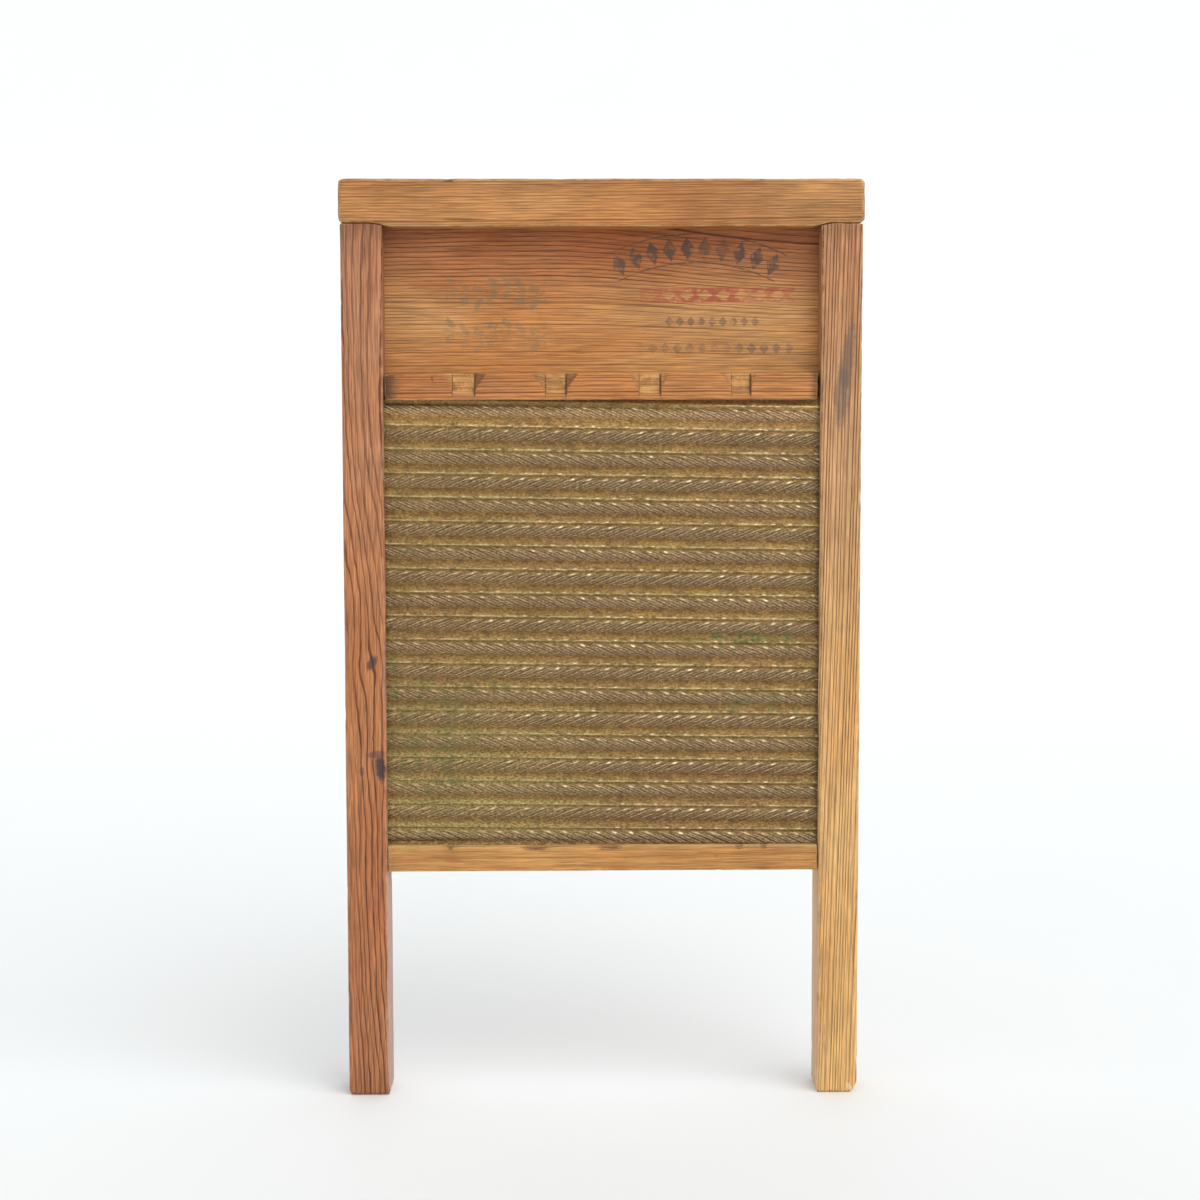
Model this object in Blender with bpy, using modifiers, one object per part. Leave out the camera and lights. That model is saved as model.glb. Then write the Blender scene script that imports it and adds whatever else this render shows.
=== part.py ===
"""Washboard: two posts, a nailed cap, a crest panel, a drain rail, a ribbed brass sheet and its slats.

Units are metres, +Z is up and -Y is the front, the side with the drain channels. The origin is on the floor
between the feet. Every piece is its own object, parented to one empty.
"""

from math import cos, pi, radians

import bmesh
import bpy
from mathutils import Vector

# Frame
BOARD_HEIGHT = 0.5556
BOARD_WIDTH = 0.312  # over the outer sides of the posts
POST_WIDTH = 0.025
POST_DEPTH = 0.0286
CAP_LENGTH = 0.315
CAP_DEPTH = 0.031
CAP_UNDERSIDE = 0.5272
CAP_NOTCH = 0.0024  # how far each post runs up into the cap
NOTCH_RAMP = 0.0055  # half the length of the ramp that ends each notch
GAP = 0.0003  # clearance between pieces that touch

# Cross rails
DRAIN_BOTTOM = 0.4233
DRAIN_TOP = 0.4406
DRAIN_SHORT_LEFT = 0.0006  # shrinkage gaps at the ends of the drain rail
DRAIN_SHORT_RIGHT = 0.0016
FOOT_RAIL_BOTTOM = 0.1385
FOOT_RAIL_TOP = 0.155
FOOT_RAIL_BACK = 0.011
RAIL_SETBACK = 0.001  # rail faces behind the posts' faces

# Drain channels
CHANNEL_CENTRES = (-0.084, -0.028, 0.028, 0.084)
CHANNEL_WIDTH = 0.0132
CHANNEL_DEPTH = 0.003
CHANNEL_LIP = 0.0033  # rail left standing under each channel
CHANNEL_RUNOUT = 0.0044
FACET_WIDTH = 0.0065  # corner cut off each block beside a channel
FACET_HEIGHT = 0.0107
FACET_DEPTH = 0.005

# Boards
PANEL_FRONT = 0.0
PANEL_THICKNESS = 0.009
PANEL_BOTTOM = 0.419
PANEL_TONGUE = 0.006  # how far the panel runs into the posts and the cap
SLAT_THICKNESS = 0.0095
SLAT_HEIGHT = 0.046
SLAT_PITCH = 0.079
SLAT_TONGUE = 0.005

# Rubbing sheet
SHEET_FRONT = -0.0108
SHEET_BACK = -0.006
SHEET_THICKNESS = 0.0005
SHEET_BOTTOM = 0.1493
SHEET_TOP = 0.4256
RIB_PITCH = 0.01436
TOP_RIB = 0.4168
RIB_STEPS = 12

# Nails
SHANK_RADIUS = 0.0012
HEAD_RADIUS = 0.0027
HEAD_THICKNESS = 0.001
TIP_LENGTH = 0.003
HEAD_SUNK = 0.0004
LONG_NAIL = 0.045
SHORT_NAIL = 0.0285
NAIL_SIDES = 12
CAP_NAIL_SPREAD = 0.007
FOOT_NAIL_SPREAD = 0.011
DRAIN_NAIL_RISE = 0.0092  # above the underside of the rail that the nail holds
FOOT_NAIL_RISE = 0.0056

# Eased edges
CAP_ROUNDING = 0.002
POST_ROUNDING = 0.0015
FOOT_CHAMFER = 0.0045
RAIL_ROUNDING = 0.0008
OVERSHOOT = 0.004  # how far a cutter runs past the face that it opens
SHARP_ANGLE = radians(40)  # faces that meet at more than this show an edge

# Worked out from the sizes above
POST_OUTER = BOARD_WIDTH / 2
POST_INNER = POST_OUTER - POST_WIDTH
POST_CENTRE = POST_OUTER - POST_WIDTH / 2
POST_TOP = CAP_UNDERSIDE + CAP_NOTCH
FRONT = -POST_DEPTH / 2
RAIL_FRONT = FRONT + RAIL_SETBACK
SLAT_FRONT = SHEET_BACK + GAP
SLAT_BACK = SLAT_FRONT + SLAT_THICKNESS
SHEET_MIDDLE = (FOOT_RAIL_TOP + DRAIN_BOTTOM) / 2

WOODS = {
    "cap_wood": (0.47, 0.22, 0.085),
    "left_post_wood": (0.42, 0.18, 0.088),
    "right_post_wood": (0.58, 0.32, 0.14),
    "panel_wood": (0.41, 0.19, 0.08),
    "drain_wood": (0.44, 0.19, 0.07),
    "foot_rail_wood": (0.51, 0.26, 0.087),
    "slat_wood": (0.40, 0.22, 0.10),
}


def clear_scene():
    for obj in list(bpy.data.objects):
        bpy.data.objects.remove(obj, do_unlink=True)


def new_collection(name, hidden=False):
    collection = bpy.data.collections.new(name)
    bpy.context.scene.collection.children.link(collection)
    collection.hide_render = hidden
    return collection


def plain_material(name, colour, roughness, metallic=0.0):
    material = bpy.data.materials.new(name)
    material.use_nodes = True
    shader = material.node_tree.nodes["Principled BSDF"]
    shader.inputs["Base Color"].default_value = (*colour, 1.0)
    shader.inputs["Roughness"].default_value = roughness
    shader.inputs["Metallic"].default_value = metallic
    return material


def put_in(obj, collection):
    for old in list(obj.users_collection):
        old.objects.unlink(obj)
    collection.objects.link(obj)


def as_piece(obj, material):
    """Files obj as a piece of the washboard and gives it its material."""
    put_in(obj, pieces)
    obj.data.materials.clear()
    obj.data.materials.append(material)
    obj.parent = board
    return obj


def as_cutter(obj):
    put_in(obj, cutters)
    obj.hide_render = True
    obj.display_type = "WIRE"
    return obj


def box(name, low, high):
    """A cube primitive between two corners, with its scale applied."""
    low, high = Vector(low), Vector(high)
    bpy.ops.mesh.primitive_cube_add(size=1, location=(low + high) / 2)
    obj = bpy.context.object
    obj.name = name
    obj.scale = high - low
    bpy.ops.object.transform_apply(location=False, rotation=False, scale=True)
    return obj


def extruded(name, outline, thickness, rotation):
    """A flat outline given thickness, as a mesh."""
    curve = bpy.data.curves.new(name, "CURVE")
    curve.dimensions = "2D"
    curve.fill_mode = "BOTH"
    curve.extrude = thickness / 2
    spline = curve.splines.new("POLY")
    spline.points.add(len(outline) - 1)
    for point, (x, y) in zip(spline.points, outline):
        point.co = (x, y, 0, 1)
    spline.use_cyclic_u = True
    guide = bpy.data.objects.new(name + "_outline", curve)
    bpy.context.scene.collection.objects.link(guide)
    guide.rotation_euler = rotation
    bpy.context.view_layer.update()
    graph = bpy.context.evaluated_depsgraph_get()
    mesh = bpy.data.meshes.new_from_object(guide.evaluated_get(graph))
    mesh.name = name
    shape = bmesh.new()
    shape.from_mesh(mesh)
    bmesh.ops.remove_doubles(shape, verts=shape.verts, dist=1e-5)
    bmesh.ops.recalc_face_normals(shape, faces=shape.faces)
    shape.to_mesh(mesh)
    shape.free()
    obj = bpy.data.objects.new(name, mesh)
    obj.matrix_world = guide.matrix_world
    bpy.data.objects.remove(guide, do_unlink=True)
    bpy.data.curves.remove(curve)
    return obj


def across(name, outline, thickness):
    """An outline in X and Z, extruded along Y about Y = 0."""
    return extruded(name, outline, thickness, (radians(90), 0, 0))


def along(name, outline, thickness):
    """An outline in Y and Z, extruded along X about X = 0."""
    return extruded(name, outline, thickness, (radians(90), 0, radians(90)))


def ease(obj, width, segments=2):
    bevel = obj.modifiers.new("eased_edges", "BEVEL")
    bevel.width = width
    bevel.segments = segments
    bevel.limit_method = "ANGLE"
    bevel.angle_limit = SHARP_ANGLE


def cut(obj, cutter):
    boolean = obj.modifiers.new("cut_" + cutter.name, "BOOLEAN")
    boolean.operation = "DIFFERENCE"
    boolean.solver = "EXACT"
    boolean.object = cutter


def turned(name, profile):
    """A profile in X and Z turned about Z. It runs from the top of the axis down the outside to the axis."""
    mesh = bpy.data.meshes.new(name)
    shape = bmesh.new()
    points = [shape.verts.new((x, 0, z)) for x, z in profile]
    for upper, lower in zip(points, points[1:]):
        shape.edges.new((upper, lower))
    shape.to_mesh(mesh)
    shape.free()
    obj = bpy.data.objects.new(name, mesh)
    screw = obj.modifiers.new("turned", "SCREW")
    screw.steps = NAIL_SIDES
    screw.render_steps = NAIL_SIDES
    screw.use_merge_vertices = True
    screw.merge_threshold = 1e-5
    return obj


def nail_profile(length, grow=0.0, top=0.0):
    """Half section of a flat-head nail that points down, or of its hole when grow and top are set."""
    under_head = -HEAD_THICKNESS - grow
    return [
        (0, top),
        (HEAD_RADIUS + grow, top),
        (HEAD_RADIUS + grow, under_head),
        (SHANK_RADIUS + grow, under_head),
        (SHANK_RADIUS + grow, TIP_LENGTH - length),
        (0, -length - 2 * grow),
    ]


def drive_nail(name, place, turn, length, held):
    """A nail with its head's top at place, turned about Y by turn, and its hole in each piece it holds."""
    nail = turned(name, nail_profile(length))
    hole = turned(name + "_hole", nail_profile(length, grow=GAP, top=OVERSHOOT))
    for obj in (nail, hole):
        obj.location = place
        obj.rotation_euler = (0, turn, 0)
    as_piece(nail, nail_iron)
    nail.data.shade_smooth()
    nail.data.set_sharp_from_angle(angle=SHARP_ANGLE)
    as_cutter(hole)
    for obj in held:
        cut(obj, hole)


def ramp(lower_by=0.0):
    """The ends of the slope that leads from the cap's underside up to the post's top, each run on a little."""
    middle = CAP_UNDERSIDE + CAP_NOTCH / 2 - lower_by
    inner = (POST_INNER - 2 * NOTCH_RAMP, middle - CAP_NOTCH)
    outer = (POST_INNER + 2 * NOTCH_RAMP, middle + CAP_NOTCH)
    return inner, outer


def make_cap():
    end = CAP_LENGTH / 2
    low = (-end, -CAP_DEPTH / 2, CAP_UNDERSIDE)
    high = (end, CAP_DEPTH / 2, BOARD_HEIGHT)
    cap = as_piece(box("top_cap", low, high), wood["cap_wood"])
    ease(cap, CAP_ROUNDING, 3)
    cut_cap_notches(cap)
    reach = POST_INNER + PANEL_TONGUE + GAP
    low = (-reach, PANEL_FRONT - GAP, CAP_UNDERSIDE - OVERSHOOT)
    high = (reach, PANEL_FRONT + PANEL_THICKNESS + GAP, CAP_UNDERSIDE + PANEL_TONGUE)
    cut(cap, as_cutter(box("cap_groove", low, high)))
    return cap


def cut_cap_notches(cap):
    """The housing over each post, which ends in a ramp."""
    inner = ramp()[0]
    deep = inner[1] - OVERSHOOT
    end = CAP_LENGTH / 2 + OVERSHOOT
    corner = (POST_INNER + NOTCH_RAMP, POST_TOP)
    outline = [inner, corner, (end, POST_TOP), (end, deep), (inner[0], deep)]
    for side, word in ((-1, "left"), (1, "right")):
        points = [(side * x, z) for x, z in outline]
        cut(cap, as_cutter(across(f"cap_notch_{word}", points, CAP_DEPTH + 2 * OVERSHOOT)))


def cut_post_ramp(post, side):
    """Takes the post's inner top corner down to match the ramp in the cap."""
    inner, outer = ramp(lower_by=GAP)
    high = POST_TOP + OVERSHOOT
    outline = [inner, outer, (outer[0], high), (inner[0], high)]
    points = [(side * x, z) for x, z in outline]
    cut(post, as_cutter(across(post.name + "_ramp", points, POST_DEPTH + 2 * OVERSHOOT)))


def weigh_post_edges(mesh):
    """Full bevel weight round the foot, a small one up the long edges and none at the top."""
    weights = mesh.attributes.new("bevel_weight_edge", "FLOAT", "EDGE")
    for edge in mesh.edges:
        heights = [mesh.vertices[v].co.z for v in edge.vertices]
        if max(heights) < 0:
            weights.data[edge.index].value = 1.0
        elif min(heights) < 0:
            weights.data[edge.index].value = POST_ROUNDING / FOOT_CHAMFER


def make_post(name, side, material):
    low_x, high_x = sorted((side * POST_INNER, side * POST_OUTER))
    post = as_piece(box(name, (low_x, FRONT, 0), (high_x, -FRONT, POST_TOP - GAP)), material)
    weigh_post_edges(post.data)
    bevel = post.modifiers.new("eased_edges", "BEVEL")
    bevel.width = FOOT_CHAMFER
    bevel.segments = 2
    bevel.limit_method = "WEIGHT"

    cut_post_ramp(post, side)
    grooves = {
        "_panel_groove": (
            PANEL_TONGUE,
            (PANEL_FRONT, PANEL_BOTTOM),
            (PANEL_FRONT + PANEL_THICKNESS, POST_TOP + OVERSHOOT),
        ),
        "_sheet_groove": (SLAT_TONGUE, (SHEET_FRONT, SHEET_BOTTOM), (SLAT_BACK, SHEET_TOP)),
    }
    for suffix, (tongue, (front, bottom), (back, top)) in grooves.items():
        start, end = sorted((side * (POST_INNER - OVERSHOOT), side * (POST_INNER + tongue + GAP)))
        low = (start, front - GAP, bottom - GAP)
        high = (end, back + GAP, top + GAP)
        cut(post, as_cutter(box(name + suffix, low, high)))
    return post


def make_panel():
    reach = POST_INNER + PANEL_TONGUE
    top = CAP_UNDERSIDE + PANEL_TONGUE - GAP
    low = (-reach, PANEL_FRONT, PANEL_BOTTOM)
    high = (reach, PANEL_FRONT + PANEL_THICKNESS, top)
    panel = as_piece(box("crest_panel", low, high), wood["panel_wood"])
    ease(panel, RAIL_ROUNDING)


def cut_channel(rail, index, centre):
    """One drain channel, open at the top and running out to the face at its foot."""
    floor = RAIL_FRONT + CHANNEL_DEPTH
    foot = DRAIN_BOTTOM + CHANNEL_LIP
    outline = [
        (RAIL_FRONT - OVERSHOOT, foot),
        (RAIL_FRONT, foot),
        (floor, foot + CHANNEL_RUNOUT),
        (floor, DRAIN_TOP + OVERSHOOT),
        (RAIL_FRONT - OVERSHOOT, DRAIN_TOP + OVERSHOOT),
    ]
    channel = along(f"channel_{index}", outline, CHANNEL_WIDTH)
    channel.matrix_world.translation.x = centre
    cut(rail, as_cutter(channel))


def cut_facet(rail, name, wall, side):
    """The corner that a slanting cut takes off a block beside a channel."""
    triangle = [
        Vector((wall, RAIL_FRONT, DRAIN_TOP - FACET_HEIGHT)),
        Vector((wall + side * FACET_WIDTH, RAIL_FRONT, DRAIN_TOP)),
        Vector((wall, RAIL_FRONT + FACET_DEPTH, DRAIN_TOP)),
    ]
    centre = sum(triangle, Vector()) / 3
    past = 1.5  # the cutter's face runs past the triangle on every side
    spread = [centre + (corner - centre) * past for corner in triangle]
    outside = Vector((wall, RAIL_FRONT, DRAIN_TOP)) + Vector((-side, -1, 1)) * OVERSHOOT
    shape = bmesh.new()
    for corner in (*spread, outside):
        shape.verts.new(corner)
    bmesh.ops.convex_hull(shape, input=shape.verts)
    bmesh.ops.recalc_face_normals(shape, faces=shape.faces)
    mesh = bpy.data.meshes.new(name)
    shape.to_mesh(mesh)
    shape.free()
    cut(rail, as_cutter(bpy.data.objects.new(name, mesh)))


def cut_sheet_groove(rail, bottom, top):
    low = (-BOARD_WIDTH / 2, SHEET_FRONT - GAP, bottom)
    high = (BOARD_WIDTH / 2, SHEET_BACK + GAP, top)
    cut(rail, as_cutter(box(rail.name + "_groove", low, high)))


def make_drain_rail():
    low = (-POST_INNER + DRAIN_SHORT_LEFT, RAIL_FRONT, DRAIN_BOTTOM)
    high = (POST_INNER - DRAIN_SHORT_RIGHT, PANEL_FRONT - GAP, DRAIN_TOP)
    rail = as_piece(box("drain_rail", low, high), wood["drain_wood"])
    ease(rail, RAIL_ROUNDING)
    cut_sheet_groove(rail, DRAIN_BOTTOM - OVERSHOOT, SHEET_TOP + GAP)
    for index, centre in enumerate(CHANNEL_CENTRES, 1):
        cut_channel(rail, index, centre)
        for side, word in ((-1, "left"), (1, "right")):
            wall = centre + side * CHANNEL_WIDTH / 2
            cut_facet(rail, f"facet_{index}_{word}", wall, side)
    return rail


def make_foot_rail():
    end = POST_INNER - GAP
    low = (-end, RAIL_FRONT, FOOT_RAIL_BOTTOM)
    high = (end, FOOT_RAIL_BACK, FOOT_RAIL_TOP)
    rail = as_piece(box("bottom_rail", low, high), wood["foot_rail_wood"])
    ease(rail, RAIL_ROUNDING)
    cut_sheet_groove(rail, SHEET_BOTTOM - GAP, FOOT_RAIL_TOP + OVERSHOOT)
    return rail


def make_sheet():
    """A strip that follows the ribs, extruded across the board and given the sheet's thickness."""
    half = SHEET_THICKNESS / 2
    middle = (SHEET_FRONT + SHEET_BACK) / 2
    swing = (SHEET_BACK - SHEET_FRONT) / 2 - half
    reach = POST_INNER + SLAT_TONGUE
    steps = round((SHEET_TOP - SHEET_BOTTOM) / RIB_PITCH * RIB_STEPS)
    shape = bmesh.new()
    edge = []
    for step in range(steps + 1):
        z = SHEET_BOTTOM + (SHEET_TOP - SHEET_BOTTOM) * step / steps
        y = middle - swing * cos(2 * pi * (z - TOP_RIB) / RIB_PITCH)
        edge.append(shape.verts.new((-reach, y, z)))
    strip = [shape.edges.new(pair) for pair in zip(edge, edge[1:])]
    swept = bmesh.ops.extrude_edge_only(shape, edges=strip)["geom"]
    far_edge = [part for part in swept if isinstance(part, bmesh.types.BMVert)]
    bmesh.ops.translate(shape, verts=far_edge, vec=(2 * reach, 0, 0))
    mesh = bpy.data.meshes.new("rubbing_sheet")
    shape.to_mesh(mesh)
    shape.free()
    sheet = as_piece(bpy.data.objects.new("rubbing_sheet", mesh), brass)
    solidify = sheet.modifiers.new("thickness", "SOLIDIFY")
    solidify.thickness = SHEET_THICKNESS
    solidify.offset = 0
    mesh.shade_smooth()


def make_slat(name, middle):
    reach = POST_INNER + SLAT_TONGUE
    low = (-reach, SLAT_FRONT, middle - SLAT_HEIGHT / 2)
    high = (reach, SLAT_BACK, middle + SLAT_HEIGHT / 2)
    slat = as_piece(box(name, low, high), wood["slat_wood"])
    ease(slat, RAIL_ROUNDING)
    return slat


def nail_cap(cap, posts):
    for word, side, post in posts:
        for place, y in (("front", -CAP_NAIL_SPREAD), ("back", CAP_NAIL_SPREAD)):
            head = (side * POST_CENTRE, y, BOARD_HEIGHT - HEAD_SUNK)
            drive_nail(f"cap_nail_{word}_{place}", head, 0, LONG_NAIL, (cap, post))


def nail_side(name, side, post, piece, y, z, length):
    head = (side * (POST_OUTER - HEAD_SUNK), y, z)
    drive_nail(name, head, side * radians(90), length, (post, piece))


def nail_rails(drain_rail, foot_rail, slats, posts):
    drain_height = DRAIN_BOTTOM + DRAIN_NAIL_RISE
    foot_height = FOOT_RAIL_BOTTOM + FOOT_NAIL_RISE
    drain_y = (RAIL_FRONT + PANEL_FRONT) / 2
    foot_y = (RAIL_FRONT + FOOT_RAIL_BACK) / 2
    for word, side, post in posts:
        nail_side(
            f"drain_rail_nail_{word}", side, post, drain_rail, drain_y, drain_height, LONG_NAIL
        )
        for place, way in (("front", -1), ("back", 1)):
            y = foot_y + way * FOOT_NAIL_SPREAD / 2
            name = f"bottom_rail_nail_{word}_{place}"
            nail_side(name, side, post, foot_rail, y, foot_height, LONG_NAIL)
        for slat_word, slat in slats.items():
            y = (SLAT_FRONT + SLAT_BACK) / 2
            name = f"slat_nail_{word}_{slat_word}"
            nail_side(name, side, post, slat, y, slat.location.z, SHORT_NAIL)


clear_scene()
pieces = new_collection("washboard")
cutters = new_collection("cutters", hidden=True)
board = bpy.data.objects.new("washboard", None)
pieces.objects.link(board)
wood = {name: plain_material(name, colour, 0.6) for name, colour in WOODS.items()}
brass = plain_material("aged_brass", (0.27, 0.17, 0.07), 0.42, metallic=0.9)
nail_iron = plain_material("nail_iron", (0.10, 0.08, 0.07), 0.6, metallic=0.8)

cap = make_cap()
left_post = make_post("left_post", -1, wood["left_post_wood"])
right_post = make_post("right_post", 1, wood["right_post_wood"])
make_panel()
drain_rail = make_drain_rail()
foot_rail = make_foot_rail()
make_sheet()
slats = {
    word: make_slat(f"back_slat_{word}", SHEET_MIDDLE + step * SLAT_PITCH)
    for word, step in (("top", 1), ("middle", 0), ("bottom", -1))
}
posts = (("left", -1, left_post), ("right", 1, right_post))
nail_cap(cap, posts)
nail_rails(drain_rail, foot_rail, slats, posts)
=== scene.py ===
"""Looks of the washboard: worn wood, an embossed brass sheet and driven nails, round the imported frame.

Metres, +Z up and -Y to the front, as in the frame. Each piece stands where its CAD node is, and
replaces it.
"""
from math import pi, radians

import bmesh
import bpy
import numpy as np
from mathutils import Matrix, Vector


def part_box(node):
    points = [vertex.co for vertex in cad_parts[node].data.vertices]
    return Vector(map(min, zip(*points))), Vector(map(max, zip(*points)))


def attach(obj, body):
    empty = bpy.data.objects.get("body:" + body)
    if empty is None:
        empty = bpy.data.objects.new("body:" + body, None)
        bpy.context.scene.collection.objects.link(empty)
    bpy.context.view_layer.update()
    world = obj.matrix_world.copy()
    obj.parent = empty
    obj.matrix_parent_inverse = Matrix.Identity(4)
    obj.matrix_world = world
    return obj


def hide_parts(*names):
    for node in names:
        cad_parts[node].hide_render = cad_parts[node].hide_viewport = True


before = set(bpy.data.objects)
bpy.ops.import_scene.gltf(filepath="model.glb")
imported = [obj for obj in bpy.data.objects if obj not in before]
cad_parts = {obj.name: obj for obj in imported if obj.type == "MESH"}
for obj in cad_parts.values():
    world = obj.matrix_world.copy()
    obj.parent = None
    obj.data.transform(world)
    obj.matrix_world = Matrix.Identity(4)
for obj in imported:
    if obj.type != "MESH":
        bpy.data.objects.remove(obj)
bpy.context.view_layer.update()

BODY = "root"
MM = 0.001
CLEAR = 0.3 * MM  # room round a piece in the groove that holds it
PANEL_LOW, PANEL_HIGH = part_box("crest_panel")
SHEET_LOW, SHEET_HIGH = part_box("rubbing_sheet")
INNER_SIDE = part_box("right_post")[0].x
CAP_STEP = 11 * MM  # width of the ramp in the cap's underside at each post

# Lattice of a wooden piece
ARC_STEPS = 5
WALL = 0.12 * MM  # distance between the two lattice lines that make a steep wall
NAIL_REACH = 3.9 * MM
NAIL_STEP = 0.6 * MM
SHARP_ANGLE = radians(38)

# Nails
HEAD_RADIUS = 2.7 * MM
SHANK_RADIUS = 1.2 * MM
NAIL_SIDES = 24

# Drain channels from the left: centre, width, and width and darkness of the slanting cut at each side;
# the darkness, painted shade on cuts that face away from the light together with their darker end grain,
# also steepens the cut
CHANNELS = (
    (-83.1 * MM, 13.4 * MM, (7.2 * MM, 0.1), (7.0 * MM, 1.0)),
    (-27.8 * MM, 12.4 * MM, (8.5 * MM, 0.45), (7.4 * MM, 0.85)),
    (28.6 * MM, 12.8 * MM, (6.0 * MM, 0.35), (5.5 * MM, 0.3)),
    (83.4 * MM, 11.4 * MM, (6.5 * MM, 0.15), (4.0 * MM, 0.15)),
)
CHANNEL_DEPTH = 3.0 * MM
CHANNEL_LIP = 3.0 * MM
CHANNEL_RUNOUT = 4.6 * MM
FACET_HEIGHT = 10.5 * MM
FACET_DEPTH = 3.8 * MM

# Faded print on the crest panel, and places of the worn nicks along the bottom rail
PRINT_CENTRE = (57 * MM, 403 * MM)
ARCH_RADIUS = 113 * MM
NICKS = ((-93, 1.6), (-41, 9), (4, 8), (83, 3), (98, 2))  # centre and half width, mm

# Rubbing sheet
RIB_PITCH = 14.36 * MM
FIRST_LINE = 408.2 * MM  # height of the first bright crease at mid-width
LINE_DROP_TOP = 0.0171  # how far the creases fall to the right, per metre, at the top and at the bottom
LINE_DROP_BOTTOM = 0.0111
ROPE_CENTRE = 0.40  # share of a pitch, measured down from a crease
ROPE_HALF = 0.25
DASH_PLACE = 0.2
LENS_PLACE = 0.68
STRAND_STEP = 7.65 * MM
STRAND_TWIST = 1.02
STAMP_STEP = 10.1 * MM  # spacing of the domes and dashes along a rib
SHEET_THICKNESS = 0.45 * MM
SHEET_ROW = 0.6 * MM
SHEET_COLUMN = 0.9 * MM

# Camera and light
LENS = 58.8
SENSOR = 36.0
CAMERA_PLACE = (-16.8 * MM, -1193.8 * MM, 390.2 * MM)
CAMERA_TURN = 0.74  # degrees to the right, below the horizon and round the line of sight
CAMERA_DIP = 4.16
CAMERA_ROLL = -0.11
WINDOW_WAY = (0.5, -0.6, 0.7)  # from the board towards the light
WINDOW_STRENGTH = 1.6
WORLD_STRENGTH = 0.695
SWEEP_START = 2.2
SWEEP_RADIUS = 1.2


def smooth(value, low, high):
    """0 below low, 1 above high and an S curve between."""
    share = np.clip((value - low) / (high - low), 0, 1)
    return share * share * (3 - 2 * share)


def ripples(points, wavelength, seed, waves=12):
    """Smooth unevenness from -1 to 1: seeded waves, of one length in mm or one for each axis."""
    random = np.random.default_rng(seed)
    directions = random.normal(size=(waves, 3))
    directions /= np.linalg.norm(directions, axis=1, keepdims=True)
    directions *= random.uniform(0.6, 1.5, (waves, 1))
    phases = random.uniform(0, 2 * pi, waves)
    turns = (points / (np.array(wavelength) * MM)) @ directions.T
    total = np.sin(2 * pi * turns + phases).sum(axis=1)
    return np.clip(total / (waves / 2) ** 0.5 / 1.6, -1, 1)


def make_object(name, points, faces, attributes, material):
    """A mesh object with one number per point in each attribute."""
    mesh = bpy.data.meshes.new(name)
    mesh.from_pydata(points.tolist(), [], faces)
    for label, values in attributes.items():
        layer = mesh.attributes.new(label, "FLOAT", "POINT")
        layer.data.foreach_set("value", np.asarray(values, np.float32))
    mesh.materials.append(material)
    obj = bpy.data.objects.new(name, mesh)
    bpy.context.scene.collection.objects.link(obj)
    return obj


def close_up(obj):
    """Welds points that carving brought together, and marks the sharp edges."""
    shape = bmesh.new()
    shape.from_mesh(obj.data)
    bmesh.ops.remove_doubles(shape, verts=shape.verts, dist=1e-6)
    bmesh.ops.dissolve_degenerate(shape, edges=shape.edges, dist=1e-7)
    shape.to_mesh(obj.data)
    shape.free()
    obj.data.shade_smooth()
    obj.data.set_sharp_from_angle(angle=SHARP_ANGLE)


def stand_for(obj, node):
    """obj replaces the CAD node and rides on the board."""
    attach(obj, BODY)
    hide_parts(node)


# ---------------------------------------------------------------- wooden shapes


def lattice_lines(low, high, spacing, rounding, walls, nails):
    """Places from low to high: even steps, and closer ones at each arris, wall and nail."""
    arc = rounding * (1 - np.tan(pi / 4 * np.arange(ARC_STEPS + 1) / ARC_STEPS))
    count = max(2, round((high - low - 2 * rounding) / spacing))
    even = np.linspace(low + rounding, high - rounding, count + 1)
    pairs = [wall + side * WALL / 2 for wall in walls for side in (-1, 1)]
    around = np.arange(-NAIL_REACH, NAIL_REACH, NAIL_STEP)
    fine = [place + offset for place in nails for offset in around]
    forced = np.array([*(low + arc), *(high - arc), *pairs])
    loose = np.array([*even, *fine])
    clear = np.abs(loose[:, None] - forced[None, :]).min(axis=1) > 0.25 * MM
    places = np.sort([*forced, *loose[clear]])
    places = places[(places > low - 1e-9) & (places < high + 1e-9)]
    return places[np.diff(places, prepend=-1) > 0.5 * WALL]


def surface_lattice(lines):
    """Points and quads of a box's surface on the given lattice lines."""
    grid = np.stack(np.meshgrid(*lines, indexing="ij"), axis=-1)
    outer = np.ones(grid.shape[:3], bool)
    outer[1:-1, 1:-1, 1:-1] = False
    ids = np.full(grid.shape[:3], -1)
    ids[outer] = np.arange(outer.sum())
    quads = []
    for axis in range(3):
        for end in (0, -1):
            sheet = np.take(ids, end, axis=axis)
            corners = [sheet[:-1, :-1], sheet[1:, :-1], sheet[1:, 1:], sheet[:-1, 1:]]
            facing_out = (end == -1) != (axis == 1)
            order = corners if facing_out else corners[::-1]
            quads.append(np.stack(order, axis=-1).reshape(-1, 4))
    return grid[outer], np.concatenate(quads)


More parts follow.
